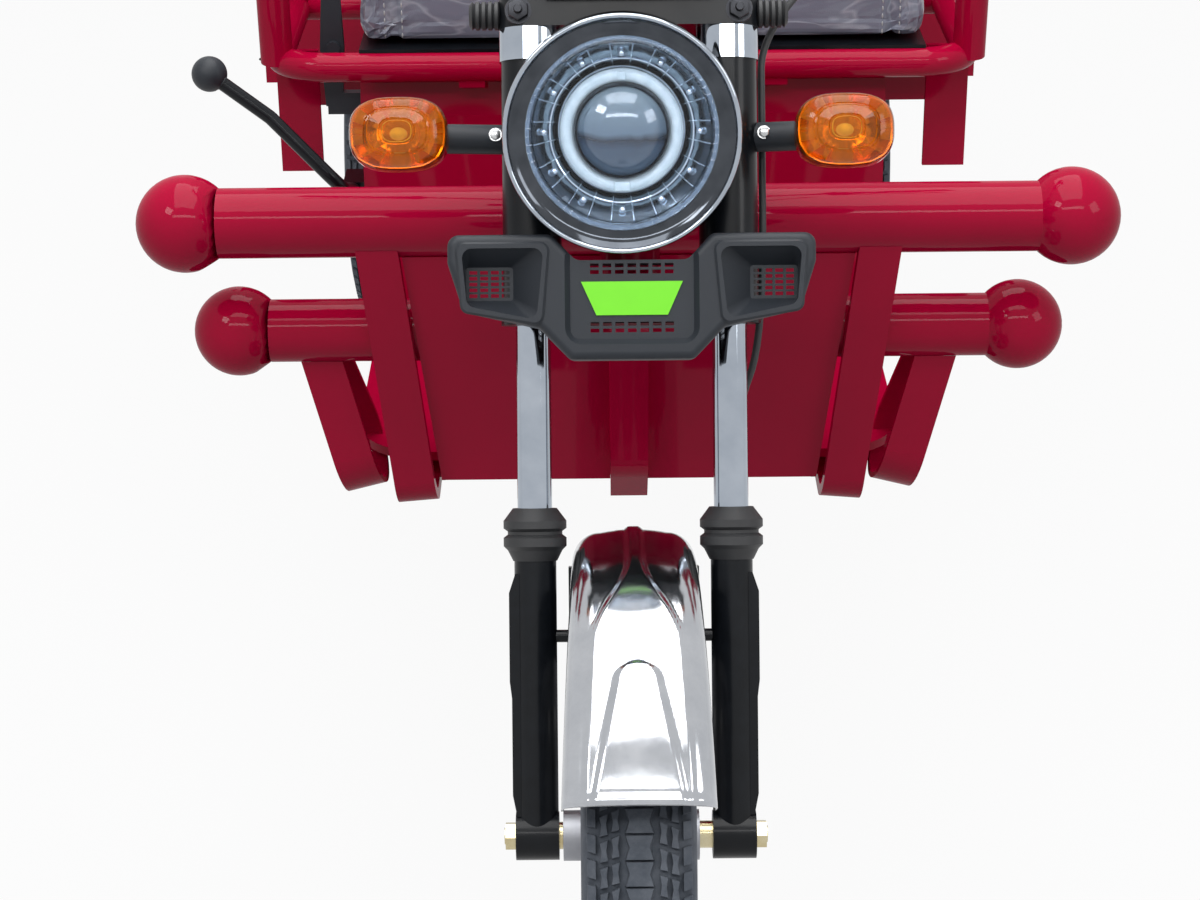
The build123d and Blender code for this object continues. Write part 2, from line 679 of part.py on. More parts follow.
def leg_shield():
    """Sheet between the two flat bars, in two halves beside the beam."""
    top, low = (400, 694), (437, 424)
    outline = make_face(Polyline((-231, 0), (231, 0), (201, -272), (-201, -272), close=True))
    run = Vector(0, low[0] - top[0], low[1] - top[1])
    frame = Plane(origin=(0, *top), x_dir=(1, 0, 0), z_dir=run.cross(Vector(1, 0, 0)))
    sheet = frame * extrude(outline, amount=SHIELD_T)
    sheet -= block((-BEAM_W / 2 - FIT, BEAM_W / 2 + FIT), (300, 600), (300, 900))
    for y, z, radius in ((UPPER_Y, UPPER_Z, UPPER_R), (LOWER_Y, LOWER_Z, LOWER_R)):
        sheet -= rod((-400, y, z), (400, y, z), radius + FIT)
    return sheet


def footboard():
    """Floor sheet with round front corners."""
    plate = block((-FLOOR_HALF, FLOOR_HALF), (FLOOR_FRONT, BOX_Y[1]), (FLOOR_Z - FLOOR_T, FLOOR_Z))
    corners = plate.edges().filter_by(Axis.Z).group_by(Axis.Y)[0]
    return fillet(corners, 80) - mirrored(hoop())


def seat_frame():
    """Seat rail loop with arm rests, hanging plates and feet on the seat box."""
    half = SEAT_RAIL_HALF - SEAT_RAIL_R
    front, back = SEAT_RAIL_Y
    loop = swept([(half, back, SEAT_RAIL_Z), (half, front, SEAT_RAIL_Z), (-half, front, SEAT_RAIL_Z),
                  (-half, back, SEAT_RAIL_Z)], 60, Circle(SEAT_RAIL_R), across=(0, 0, 1))
    cross = rod((-half, back - 40, SEAT_RAIL_Z), (half, back - 40, SEAT_RAIL_Z), SEAT_RAIL_R)
    frame = loop + cross
    for side in (-1, 1):
        x = side * half
        arm = swept([(x, front + 26, SEAT_RAIL_Z), (x, front + 14, ARM_Z), (x, back - 60, ARM_Z),
                     (x, back - 40, SEAT_RAIL_Z)], 50, Circle(ARM_R))
        hang = side * HANGER_X
        plate = block((hang - 25, hang + 25), (front + 70, front + 76), (SEAT_RAIL_Z - 150, SEAT_RAIL_Z))
        frame = frame + arm + plate
    low = BOX_Z[1] + FIT
    for x in SEAT_FEET:
        wide = (x - SEAT_FOOT_W / 2, x + SEAT_FOOT_W / 2)
        frame += block(wide, (front - 6, BOX_Y[0] + 34), (low, SEAT_RAIL_Z - 12))
        frame += block(wide, (back - 52, back - 28), (low, SEAT_RAIL_Z - 12))
    return frame


def seat_base():
    """Plate under the cushion with saddles that turn on the front tube of the seat rail."""
    front, back = SEAT_RAIL_Y
    low = SEAT_RAIL_Z + SEAT_RAIL_R + 0.3
    base = block((CUSHION_X[0] + 12, CUSHION_X[1] - 12), (front - 2, back - 8), (low, low + SEAT_BASE_T))
    for x in SADDLE_X:
        ends = (x - SADDLE_W / 2, x + SADDLE_W / 2)
        saddle = rod((ends[0], front, SEAT_RAIL_Z), (ends[1], front, SEAT_RAIL_Z), SADDLE_R)
        across = (front - SADDLE_R, front + SADDLE_R)
        base += saddle - block(ends, across, (low + SEAT_BASE_T, low + SADDLE_R))
    reach = SEAT_RAIL_HALF
    return base - rod((-reach, front, SEAT_RAIL_Z), (reach, front, SEAT_RAIL_Z), SEAT_RAIL_R + RUN)


def seat_box():
    """Sheet box under the seat, open on top, with a bevelled front edge."""
    outer = block((-BOX_HALF, BOX_HALF), BOX_Y, BOX_Z)
    edge = outer.edges().filter_by(Axis.X).group_by(Axis.Y)[0].sort_by(Axis.Z)[-1]
    outer = chamfer(edge, 44, 14, reference=outer.faces().sort_by(Axis.Y)[0])
    lip = 22
    rim = BOX_Y[0] + lip + 14
    inner = block((BOX_T - BOX_HALF, BOX_HALF - BOX_T), (BOX_Y[0] + BOX_T + 14, BOX_Y[1] - BOX_T),
                  (BOX_Z[0], BOX_Z[1] - BOX_T))
    mouth = block((lip - BOX_HALF, BOX_HALF - lip), (rim, BOX_Y[1] - lip), (BOX_Z[0], BOX_Z[1] + 1))
    return outer - inner - mouth


def seat_cushion():
    """Padded seat, set over to leave room for the hand brake."""
    low = SEAT_RAIL_Z + SEAT_RAIL_R + SEAT_BASE_T + 0.5
    pad = block(CUSHION_X, (SEAT_RAIL_Y[0] - 2, SEAT_RAIL_Y[1]), (low, CUSHION_TOP))
    return fillet(pad.edges().filter_by(Axis.X).group_by(Axis.Z)[-1] + pad.edges().filter_by(Axis.Z), 24)


def backrest_frame():
    """Bent tube behind the back pad, with stays to the front wall of the bed."""
    y = BED_Y[0] - 26
    top = BACK_Z[1]
    tube = swept([(-250, y, 700), (-250, y, top), (250, y, top), (250, y, 700)], 60, Circle(BACK_R))
    for side in (-1, 1):
        for z in (720, 900):
            tube += block((side * 250 - 10, side * 250 + 10), (y, BED_Y[0]), (z - 12, z + 12))
    return tube


def backrest_pad():
    """Padded back."""
    back = BED_Y[0] - 26 - BACK_R
    pad = block((-300, 300), (back - 40, back), (BACK_Z[0], BACK_Z[1] + 20))
    return fillet(pad.edges().group_by(Axis.Y)[0] + pad.edges().filter_by(Axis.Y), 16)


def gear_lever():
    """Bent rod from the side of the seat box to the knob."""
    points = [KNOB, KNOB_BEND, (-BOX_HALF - 12, 722, 655), (-BOX_HALF - 14, 900, 590)]
    stick = swept(points, 26, Circle(LEVER_R), across=(0, 1, 0))
    return stick + block((-BOX_HALF - 26, -BOX_HALF), (876, 926), (572, 608))


def gear_knob():
    """Ball on the end of the gear lever."""
    away = (Vector(*KNOB) - Vector(*KNOB_BEND)).normalized()
    return Pos(*KNOB) * Sphere(KNOB_R) - rod(Vector(*KNOB) + away * FIT, KNOB_BEND, KNOB_BORE_R)


def hand_brake():
    """Hand-brake lever on a bracket beside the seat box."""
    outline = make_face(Polyline(
        (-42, 700), (-22, 700), (-18, 770), (-22, 880), (-38, 886), (-46, 770), close=True))
    arm = Plane(origin=(-BOX_HALF, 900, 0), x_dir=(1, 0, 0), z_dir=(0, -1, 0)) * extrude(outline, amount=14)
    foot = block((-BOX_HALF - 40, -BOX_HALF), (886, 900), (690, 716))
    bolt = rod((-BOX_HALF - 30, 887, 772), (-BOX_HALF - 30, 879, 772), 8)
    return arm + foot + bolt


def brake_pedal():
    """Foot brake on the floor by the shield."""
    arm = swept([(-150, 590, FLOOR_Z), (-150, 590, FLOOR_Z + 40), (-150, 520, FLOOR_Z + 90)], 20, Circle(7))
    pad = Pos(-150, 516, FLOOR_Z + 92) * Rot(X=40) * Box(64, 12, 56)
    base = block((-170, -130), (570, 620), (FLOOR_Z, FLOOR_Z + 8))
    return arm + pad + base


def rear_axle():
    """Axle housing with the reduction case, backing plates and wheel spindles."""
    reach = REAR_TRACK / 2 - REAR_DRUM_W - MOVE - 7
    housing = rod((-reach, 0, 0), (reach, 0, 0), AXLE_TUBE_R)
    for side in (-1, 1):
        housing += rod((side * reach, 0, 0), (side * (reach + 7), 0, 0), REAR_DRUM_R - 4)
        housing += rod((side * reach, 0, 0), (side * (REAR_TRACK / 2 + REAR_CAP_L - 12), 0, 0), SPINDLE_R)
    wheel = Circle(CASE_R) + Pos(-MOTOR_AHEAD, MOTOR_UP) * Circle(MOTOR_R)
    case = extrude(make_hull(wheel.edges()), amount=CASE_W)
    case = Plane(origin=(MOTOR_X[1], 0, 0), x_dir=(0, 1, 0), z_dir=(1, 0, 0)) * case
    axle = REAR_AXLE * (housing + fillet(case.edges().group_by(Axis.X)[-1], 12))
    return axle + spring_seat() + mirror(spring_seat(), about=Plane.YZ)


def drive_motor():
    """Motor body with cooling rings on the face of the reduction case."""
    place = Pos(0, -MOTOR_AHEAD, MOTOR_UP)
    body = place * rod((MOTOR_X[0], 0, 0), (MOTOR_X[1], 0, 0), MOTOR_R - 6)
    for x in range(MOTOR_X[0] + 20, MOTOR_X[1] - 14, 16):
        body += place * rod((x, 0, 0), (x + 6, 0, 0), MOTOR_R)
    return REAR_AXLE * body


def leaf_spring():
    """Pack of bent leaves with an eye at each end, over the axle."""
    centre_z = SPRING_Z + LEAF_T * LEAF_COUNT + SPRING_BEND_R
    side = Plane(origin=(RAIL_X - RAIL_W / 2, WHEELBASE, 0), x_dir=(0, 1, 0), z_dir=(1, 0, 0))
    pack = Sketch()
    for leaf in range(LEAF_COUNT):
        outer = SPRING_BEND_R + LEAF_T * (leaf + 1)
        arc = Pos(0, centre_z) * (Circle(outer) - Circle(outer - LEAF_T - 0.01))
        reach = SPRING_HALF - leaf * 86
        pack += arc & Pos(0, SPRING_Z + 100) * Rectangle(2 * reach, 300)
    spring = side * extrude(pack, amount=RAIL_W)
    for end in (-1, 1):
        y, z = WHEELBASE + end * SPRING_HALF, spring_eye_z()
        spring += rod((RAIL_X - RAIL_W / 2, y, z), (RAIL_X + RAIL_W / 2, y, z), EYE_R)
        spring -= rod((RAIL_X - RAIL_W, y, z), (RAIL_X + RAIL_W, y, z), EYE_PIN_R + FIT)
    return spring


def spring_eye_z():
    """Height of the eyes at the ends of the spring."""
    centre_z = SPRING_Z + LEAF_T * LEAF_COUNT + SPRING_BEND_R
    radius = SPRING_BEND_R + LEAF_T / 2
    return centre_z - sqrt(radius ** 2 - SPRING_HALF ** 2)


def spring_hanger(end):
    """Hanger from the side rail to one spring eye, with its pin."""
    y, z = WHEELBASE + end * SPRING_HALF, spring_eye_z()
    top = RAIL_REAR_Z - RAIL_H / 2
    half = RAIL_W / 2 + 8
    frame = block((RAIL_X - half, RAIL_X + half), (y - 26, y + 26), (z - 22, top))
    notch = (RAIL_X - RAIL_W / 2 - FIT, RAIL_X + RAIL_W / 2 + FIT)
    frame -= block(notch, (y - 40, y + 40), (z - 60, top - 8))
    return frame + rod((RAIL_X - half, y, z), (RAIL_X + half, y, z), EYE_PIN_R)


def spring_seat():
    """Saddle between the axle housing and the spring."""
    seat = block((RAIL_X - 30, RAIL_X + 30), (WHEELBASE - 45, WHEELBASE + 45), (TYRE_R, SPRING_Z + 30))
    centre_z = SPRING_Z + LEAF_T * LEAF_COUNT + SPRING_BEND_R
    bed = SPRING_BEND_R + LEAF_T * LEAF_COUNT + FIT
    return seat - rod((RAIL_X - 60, WHEELBASE, centre_z), (RAIL_X + 60, WHEELBASE, centre_z), bed)


def bed_side():
    """Side board with pressed panels between its posts."""
    low, top = BED_FLOOR_Z - BED_FLOOR_T, BED_TOP
    board = block((BED_HALF - BED_WALL, BED_HALF), (BED_Y[0] + BED_WALL, BED_Y[1]), (low, top))
    length = BED_Y[1] - BED_Y[0] - BED_WALL
    pitch = length / BED_BAYS
    for bay in range(BED_BAYS):
        y = BED_Y[0] + BED_WALL + bay * pitch
        board -= block((BED_HALF - 12, BED_HALF + 1), (y + 22, y + pitch - 22), (low + 50, top - 44))
    return board


def bed_front():
    """Front wall of the bed with pressed panels."""
    inner = BED_Y[0] + BED_WALL
    wall = block((-BED_HALF, BED_HALF), (BED_Y[0], inner), (BED_FLOOR_Z - BED_FLOOR_T, BED_TOP))
    for x in (-310, 0, 310):
        wall -= block((x - 130, x + 130), (inner - 10, inner + 1), (BED_FLOOR_Z + 34, BED_TOP - 44))
    return wall


def bed_floor():
    """Floor with the fixed half of the tailgate hinges."""
    half = BED_HALF - BED_WALL - FIT
    front = BED_Y[0] + BED_WALL + FIT
    floor = block((-half, half), (front, BED_Y[1]), (BED_FLOOR_Z - BED_FLOOR_T, BED_FLOOR_Z))
    for x in GATE_HINGES:
        ends = (x - GATE_KNUCKLE, x - FIT)
        floor += rod((ends[0], GATE_Y, GATE_Z), (ends[1], GATE_Y, GATE_Z), GATE_BARREL_R)
        floor += block(ends, (BED_Y[1] - 1, GATE_Y), (GATE_Z - 5, GATE_Z + 5))
    rail_top = RAIL_REAR_Z + RAIL_H / 2
    for y in BEARERS:
        floor += block((20 - BED_HALF, BED_HALF - 20), (y - BEARER_W / 2, y + BEARER_W / 2),
                       (rail_top, BED_FLOOR_Z - BED_FLOOR_T))
    for x in (-LASH_X, LASH_X):
        for y in LASH_Y:
            floor -= Pos(x, y, BED_FLOOR_Z) * Cylinder(LASH_HOLE_R, 3 * BED_FLOOR_T)
    return floor - rod((-BED_HALF, GATE_Y, GATE_Z), (BED_HALF, GATE_Y, GATE_Z), GATE_PIN_R + RUN)


def tailgate():
    """Drop-down gate with pressed panels and the moving half of its hinges."""
    inner = BED_Y[1] + MOVE
    low = GATE_Z + 18
    gate = block((2 - BED_HALF, BED_HALF - 2), (inner, inner + GATE_T), (low, BED_TOP))
    for x in (-310, 0, 310):
        gate -= block((x - 130, x + 130), (inner + GATE_T - 10, inner + GATE_T + 1), (low + 34, BED_TOP - 44))
    for x in GATE_HINGES:
        ends = (x + FIT, x + GATE_KNUCKLE)
        gate += rod((ends[0], GATE_Y, GATE_Z), (ends[1], GATE_Y, GATE_Z), GATE_BARREL_R)
        gate += block(ends, (GATE_Y - 6, GATE_Y + 6), (GATE_Z, low + 1))
        gate += rod((x - GATE_KNUCKLE + 2, GATE_Y, GATE_Z), (x + GATE_KNUCKLE, GATE_Y, GATE_Z), GATE_PIN_R)
    return gate


def rear_crossbar():
    """Rear bar on the ends of the side rails, with the blank plate's bracket."""
    half = RAIL_H / 2
    bar = block((-400, 400), (RAIL_END + FIT, RAIL_END + 40), (RAIL_REAR_Z - half, RAIL_REAR_Z + half))
    bar += block((-70, 70), (RAIL_END + 30, RAIL_END + 40), (RAIL_REAR_Z - 110, RAIL_REAR_Z))
    for x in (-PLATE_PITCH / 2, PLATE_PITCH / 2):
        bar -= rod((x, RAIL_END, PLATE_Z), (x, RAIL_END + 50, PLATE_Z), PLATE_HOLE_R)
    return bar


def build():
    """Every node of the vehicle by name."""
    nodes = {}

    # Wheels
    front = Pos(0, 0, TYRE_R)
    nodes["front_tyre"] = front * tyre()
    nodes["front_wheel"] = front * front_wheel()
    for name, side in (("rear_right", -1), ("rear_left", 1)):
        place = Pos(side * REAR_TRACK / 2, WHEELBASE, TYRE_R)
        turn = Rot(Z=0 if side > 0 else 180)
        nodes[name + "_tyre"] = place * tyre()
        nodes[name + "_wheel"] = place * turn * rear_wheel()

    # Fork and everything that turns with it
    axle = rod((-AXLE_HALF, 0, 0), (AXLE_HALF, 0, 0), AXLE_R)
    for side in (-1, 1):
        nut = extrude(Plane.YZ * RegularPolygon(12, 6, major_radius=False), amount=10)
        axle += Pos(LEG_FOOT_X[1], 0, 0) * nut if side > 0 else Pos(-LEG_FOOT_X[1] - 10, 0, 0) * nut
    axle += ring((FRONT_HUB_X[1] + 0.5, LEG_FOOT_X[0]), 13, AXLE_R - 1)
    axle += ring((-LEG_FOOT_X[0], FRONT_HUB_X[0] - 0.5), 13, AXLE_R - 1)
    nodes["front_axle"] = FORK * axle
    nodes["fork_lower_legs"] = FORK * mirrored(lower_leg())
    nodes["fork_boots"] = FORK * mirrored(boot())
    tube = Pos(LEG_X, 0, 42) * Cylinder(STANCHION_R, UPPER_CLAMP[1] + 4 - 42, align=(MID, MID, MIN))
    nodes["fork_stanchions"] = FORK * mirrored(tube)
    nodes["steering_stem"] = FORK * steering_stem()
    nodes["fork_covers"] = FORK * handed(fork_cover, LAMP_X, -LAMP_X)
    collar = Pos(LEG_X, 0, COLLAR_Z) * (
        Cylinder(COLLAR_R, UPPER_CLAMP[0] - COLLAR_Z, align=(MID, MID, MIN))
        - Cylinder(STANCHION_R + FIT, UPPER_CLAMP[0] - COLLAR_Z, align=(MID, MID, MIN)))
    nodes["fork_collars"] = FORK * mirrored(collar)
    nodes["front_mudguard"] = front * mudguard()
    nodes["handlebar"] = FORK * handlebar_run(BAR_R)
    nodes["grips"] = FORK * grips()
    nodes["brake_levers"] = FORK * mirrored(lever())
    nodes["mirrors"] = FORK * mirrored(mirror_arm())
    nodes["instrument"] = FORK * instrument()
    nodes["brake_cable"] = FORK * brake_cable()
    reaches = (SIGNAL_X + LAMP_X, SIGNAL_X - LAMP_X)
    nodes["turn_signal_lenses"] = FORK * handed(signal_lens, *reaches)
    nodes["turn_signal_stalks"] = FORK * handed(signal_stalk, *reaches)
    nodes["front_panel"] = FORK * front_panel()
    nodes["panel_plate"] = FORK * panel_plate()
    lamp = FORK * Pos(LAMP_X, LAMP_Y, LAMP_Z) * Rot(X=LAMP_TILT)
    for name, piece in headlamp().items():
        nodes[name] = lamp * piece

    # Frame and front body
    nodes["bumper_upper"] = bumper(UPPER_Y, UPPER_Z, UPPER_R, UPPER_BALL, UPPER_SPAN)
    nodes["bumper_lower"] = bumper(LOWER_Y, LOWER_Z, LOWER_R, LOWER_BALL, LOWER_SPAN)
    nodes["main_frame"] = main_frame()
    nodes["frame_rails"] = mirrored(frame_rail())
    nodes["shield_bars"] = mirrored(shield_bar())
    nodes["bumper_hoops"] = mirrored(hoop())
    nodes["leg_shield"] = leg_shield()
    nodes["footboard"] = footboard()
    half = RAIL_X - RAIL_W / 2
    nodes["frame_crossmembers"] = group(
        block((-half, half), (y - 20, y + 20), (z - 25, z + 25)) for y, z in CROSSMEMBERS)

    # Seat
    nodes["seat_box"] = seat_box()
    nodes["battery_pack"] = block((-250, 250), (910, 1140), (FLOOR_Z, 660))
    nodes["seat_frame"] = seat_frame()
    nodes["seat_base"] = seat_base()
    nodes["seat_cushion"] = seat_cushion()
    nodes["backrest_frame"] = backrest_frame()
    nodes["backrest_pad"] = backrest_pad()
    nodes["gear_lever"] = gear_lever()
    nodes["gear_knob"] = gear_knob()
    nodes["hand_brake"] = hand_brake()
    nodes["brake_pedal"] = brake_pedal()

    # Rear axle and springs
    nodes["rear_axle"] = rear_axle()
    nodes["drive_motor"] = drive_motor()
    nodes["leaf_springs"] = mirrored(leaf_spring())

    # Load bed
    nodes["bed_floor"] = bed_floor()
    nodes["bed_front_wall"] = bed_front()
    nodes["bed_sides"] = mirrored(bed_side())
    nodes["tailgate"] = tailgate()
    nodes["rear_crossbar"] = rear_crossbar()
    lamp_back = RAIL_END + 40
    lamp_z = (RAIL_REAR_Z - 26, RAIL_REAR_Z + 26)
    nodes["tail_lamps"] = mirrored(block((270, 390), (lamp_back, lamp_back + 14), lamp_z))
    flap_y = FLAP_BEARER + BEARER_W / 2 + FIT
    flap_x = (REAR_TRACK / 2 - FLAP_W / 2, REAR_TRACK / 2 + FLAP_W / 2)
    flap_z = (FLAP_LOW, BED_FLOOR_Z - BED_FLOOR_T)
    nodes["mud_flaps"] = mirrored(block(flap_x, (flap_y, flap_y + FLAP_T), flap_z))
    return nodes


os.makedirs("parts", exist_ok=True)
for node, solid in build().items():
    export_step(Pos(0, FRONT_AXLE_Y, 0) * solid, f"parts/{node}.step")
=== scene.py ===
"""Electric cargo tricycle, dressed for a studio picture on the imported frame."""
from math import atan2, cos, pi, radians, sin, sqrt

import bmesh
import bpy
from mathutils import Matrix, Vector


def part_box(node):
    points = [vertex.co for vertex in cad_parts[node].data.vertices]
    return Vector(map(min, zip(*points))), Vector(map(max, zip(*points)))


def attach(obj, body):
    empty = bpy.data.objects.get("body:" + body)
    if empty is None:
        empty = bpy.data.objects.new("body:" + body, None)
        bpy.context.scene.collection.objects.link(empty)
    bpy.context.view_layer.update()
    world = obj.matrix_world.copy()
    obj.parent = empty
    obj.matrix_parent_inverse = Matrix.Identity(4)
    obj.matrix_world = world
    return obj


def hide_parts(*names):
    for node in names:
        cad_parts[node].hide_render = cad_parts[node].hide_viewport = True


bl_info = {
    "name": "Cargo Tricycle",
    "version": (1, 0, 0),
    "blender": (4, 5, 0),
    "location": "View3D > Sidebar > Tricycle",
    "description": "Dresses the frame of an electric cargo tricycle with trim, finishes and a studio",
    "category": "Object",
}

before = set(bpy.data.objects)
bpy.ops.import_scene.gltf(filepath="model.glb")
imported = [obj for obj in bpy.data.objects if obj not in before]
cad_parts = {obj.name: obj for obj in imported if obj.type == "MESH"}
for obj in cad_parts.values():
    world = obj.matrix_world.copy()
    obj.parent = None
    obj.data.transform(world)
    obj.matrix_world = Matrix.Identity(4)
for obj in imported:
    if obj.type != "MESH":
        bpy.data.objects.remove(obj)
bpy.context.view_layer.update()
MM = 0.001


def middle(node):
    """Centre of a CAD node's box."""
    low, high = (Vector(corner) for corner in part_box(node))
    return (low + high) / 2


def linear(code):
    """Linear colour of an sRGB hex value."""
    parts = [int(code[i:i + 2], 16) / 255 for i in (0, 2, 4)]
    return [p / 12.92 if p <= 0.04045 else ((p + 0.055) / 1.055) ** 2.4 for p in parts]


# Places that the frame gives
FRONT_AXLE = middle("front_tyre")
RAKE = radians(25)
FORK = Matrix.Translation(FRONT_AXLE) @ Matrix.Rotation(-RAKE, 4, "X")
WORLD = Matrix.Identity(4)
VEHICLE = Matrix.Translation((0, FRONT_AXLE.y, 0))
TYRE_R = (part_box("front_tyre")[1][2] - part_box("front_tyre")[0][2]) / 2

# The solids' own sizes, in millimetres, in the frame of the fork unless a comment says otherwise
LAMP_X, LAMP_Y, LAMP_Z, LAMP_TILT = -8, -96, 657, 13
BEZEL_R, BEZEL_LIP, HALO_R, PROJECTOR_R = 109.5, 14, 57, 41
SIGNAL_X, SIGNAL_Y, SIGNAL_Z, SIGNAL_W, SIGNAL_H = 208, -34, 663, 92, 68
LEG_X, CLAMP_R, CLAMP_Z = 93.5, 30, 781
CLAMP_BOLT, LAMP_SCREW = Vector((104, -28, CLAMP_Z)), Vector((127, -16.6, SIGNAL_Z + 3))
MIRROR, INSTRUMENT_TOP = Vector((290, 128.5, 1042)), Vector((0, -41, 841.6))
GRIP_END, GRIP_RUN = Vector((360, 158, 916)), Vector((-170, -80, 0)).normalized()
# Pedal pad, from the floor under the front axle
PEDAL, PEDAL_TILT = (-150, 516, 532), radians(40)
# Frames round the tail lamps: distance from the vehicle's middle, width and height between bars
TAIL_LAMP_X, TAIL_LAMP_W, TAIL_LAMP_H = 330, 122, 54
# Wheel nuts and valves, about the wheel's axis
NUT_CIRCLE_R, NUT_FACE_X, VALVE_R, VALVE_X = 60, 6, 147.5, 16
# Mudguard, about the front axle; its angles are in degrees up from straight ahead
GUARD_R, GUARD_HALF, GUARD_CORNER, GUARD_FRONT, GUARD_BACK, FLARE = 288, 60, 26, 38, 176, 84
RIDGE_HALF, RIDGE_WIDE, RIDGE_OPEN, RIDGE_CLOSED = 10, 43, 68, 90
ARCH_TOP, ARCH_R = 59.6, 23
# Tyre section, about its wheel's axis
CROWN_ARC_R, TREAD_HALF, SHOULDER_R, BEAD_R, BEAD_X = 86.67, 44, 243, 152.2, 37.8


class TricycleFinish(bpy.types.PropertyGroup):
    """Colours of the tricycle's finishes."""

    red: bpy.props.FloatVectorProperty(
        name="Body red", description="Gloss enamel of the frame, bumpers and bed", subtype="COLOR",
        size=3, min=0, max=1, default=linear("A0052F"))
    plate: bpy.props.FloatVectorProperty(
        name="Panel plate", description="Bare plate on the front panel", subtype="COLOR",
        size=3, min=0, max=1, default=linear("72DA18"))
    amber: bpy.props.FloatVectorProperty(
        name="Signal amber", description="Moulded lenses of the turn signals", subtype="COLOR",
        size=3, min=0, max=1, default=linear("E48A1C"))
    plastic: bpy.props.FloatVectorProperty(
        name="Charcoal plastic", description="Grained plastic of the front panel", subtype="COLOR",
        size=3, min=0, max=1, default=linear("24282E"))
    leather: bpy.props.FloatVectorProperty(
        name="Seat grey", description="Synthetic leather of the seat", subtype="COLOR",
        size=3, min=0, max=1, default=linear("6A6D7C"))


class TricycleSizes(bpy.types.PropertyGroup):
    """Sizes of the trim that is added to the frame."""

    tread_depth: bpy.props.FloatProperty(
        name="Tread depth", description="Height of the tread blocks", unit="LENGTH", default=6 * MM)
    emboss: bpy.props.FloatProperty(
        name="Guard emboss", description="Height of each pressed step on the mudguard", unit="LENGTH",
        default=3 * MM)
    lens: bpy.props.FloatProperty(
        name="Camera lens", description="Focal length on a 36 mm sensor, in millimetres", default=78.75)
    camera_x: bpy.props.FloatProperty(
        name="Camera offset", description="Camera's place across the vehicle", unit="LENGTH", default=-0.030)
    camera_yaw: bpy.props.FloatProperty(
        name="Camera yaw", description="Camera's turn to its left", subtype="ANGLE", default=radians(-0.21))
    camera_lean: bpy.props.FloatProperty(
        name="Camera lean", description="Camera's lean about the vehicle's length", subtype="ANGLE",
        default=radians(0.5))
    camera_ahead: bpy.props.FloatProperty(
        name="Camera ahead", description="Camera's distance ahead of the front axle", unit="LENGTH",
        default=2.111)
    camera_height: bpy.props.FloatProperty(
        name="Camera height", description="Camera's height over the floor", unit="LENGTH", default=1.644)


def finish_of():
    """The scene's colours."""
    return bpy.context.scene.tricycle_finish


def sizes_of():
    """The scene's trim sizes."""
    return bpy.context.scene.tricycle_sizes


def feed(node, inputs):
    """Sets some inputs of a node, or links them."""
    for name, value in dict(inputs).items():
        if isinstance(value, bpy.types.NodeSocket):
            node.id_data.links.new(value, node.inputs[name])
        else:
            node.inputs[name].default_value = value


def add(tree, kind, inputs=(), **settings):
    """Adds a node with its settings and its values or links."""
    node = tree.nodes.new(kind)
    for name, value in settings.items():
        setattr(node, name, value)
    feed(node, inputs)
    return node


def start(name):
    """A new material with its node tree, shader and object coordinates."""
    material = bpy.data.materials.get(name)
    if material is None:
        material = bpy.data.materials.new(name)
    material.use_nodes = True
    tree = material.node_tree
    tree.nodes.clear()
    shader = add(tree, "ShaderNodeBsdfPrincipled")
    add(tree, "ShaderNodeOutputMaterial", {"Surface": shader.outputs["BSDF"]})
    place = add(tree, "ShaderNodeTexCoord").outputs["Object"]
    return material, tree, shader, place


def shade(colour, factor):
    """A colour with its brightness scaled, with alpha."""
    return (*(min(1, c * factor) for c in colour[:3]), 1)


def paint(*codes):
    """Colours with alpha of some sRGB hex values."""
    return [(*linear(code), 1) for code in codes]


def clouded_finish(name, tones, cloud, grain=None, polish=None, values=(), ragged=0.5):
    """A finish of two tones in clouds of (number in a metre, detail), with a raised grain of (number in a
    metre, detail, strength, depth in mm), a roughness that varies with the clouds, and uniform values."""
    material, tree, shader, place = start(name)
    scale, detail = cloud
    drift = add(tree, "ShaderNodeTexNoise", {"Vector": place, "Scale": scale, "Detail": detail,
                                             "Roughness": ragged}).outputs["Fac"]
    tone = add(tree, "ShaderNodeMix", {0: drift, 6: tones[0], 7: tones[1]}, data_type="RGBA")
    feed(shader, {"Base Color": tone.outputs[2], **dict(values)})
    if polish:
        rough = add(tree, "ShaderNodeMapRange", {"Value": drift, "To Min": polish[0], "To Max": polish[1]})
        feed(shader, {"Roughness": rough.outputs[0]})
    if grain:
        scale, detail, strength, depth = grain
        relief = add(tree, "ShaderNodeTexNoise", {"Vector": place, "Scale": scale, "Detail": detail})
        bump = add(tree, "ShaderNodeBump", {"Height": relief.outputs["Fac"], "Strength": strength,
                                            "Distance": depth * MM})
        feed(shader, {"Normal": bump.outputs["Normal"]})
    return material


def red_enamel():
    """Baked gloss enamel: deep crimson with a clear wet coat and a faint orange peel."""
    red = finish_of().red
    # Orange peel of about 5 mm, a little coarser than real so that it shows
    return clouded_finish("red_enamel", (shade(red, 0.9), shade(red, 1.08)), (9, 3), (190, 1, 0.035, 2),
                          values={"Roughness": 0.4, "Specular IOR Level": 0.0, "Coat Weight": 0.4,
                                  "Coat IOR": 1.33, "Coat Roughness": 0.05})


def black_enamel():
    """Sprayed black enamel: near black, half gloss, with dusty clouds of about 17 mm and a fine peel."""
    return clouded_finish("black_enamel", paint("07090C", "14171C"), (60, 4), (400, 1, 0.06, 1), (0.24, 0.4),
                          {"Specular IOR Level": 0.15, "Coat Weight": 0.12, "Coat Roughness": 0.12})


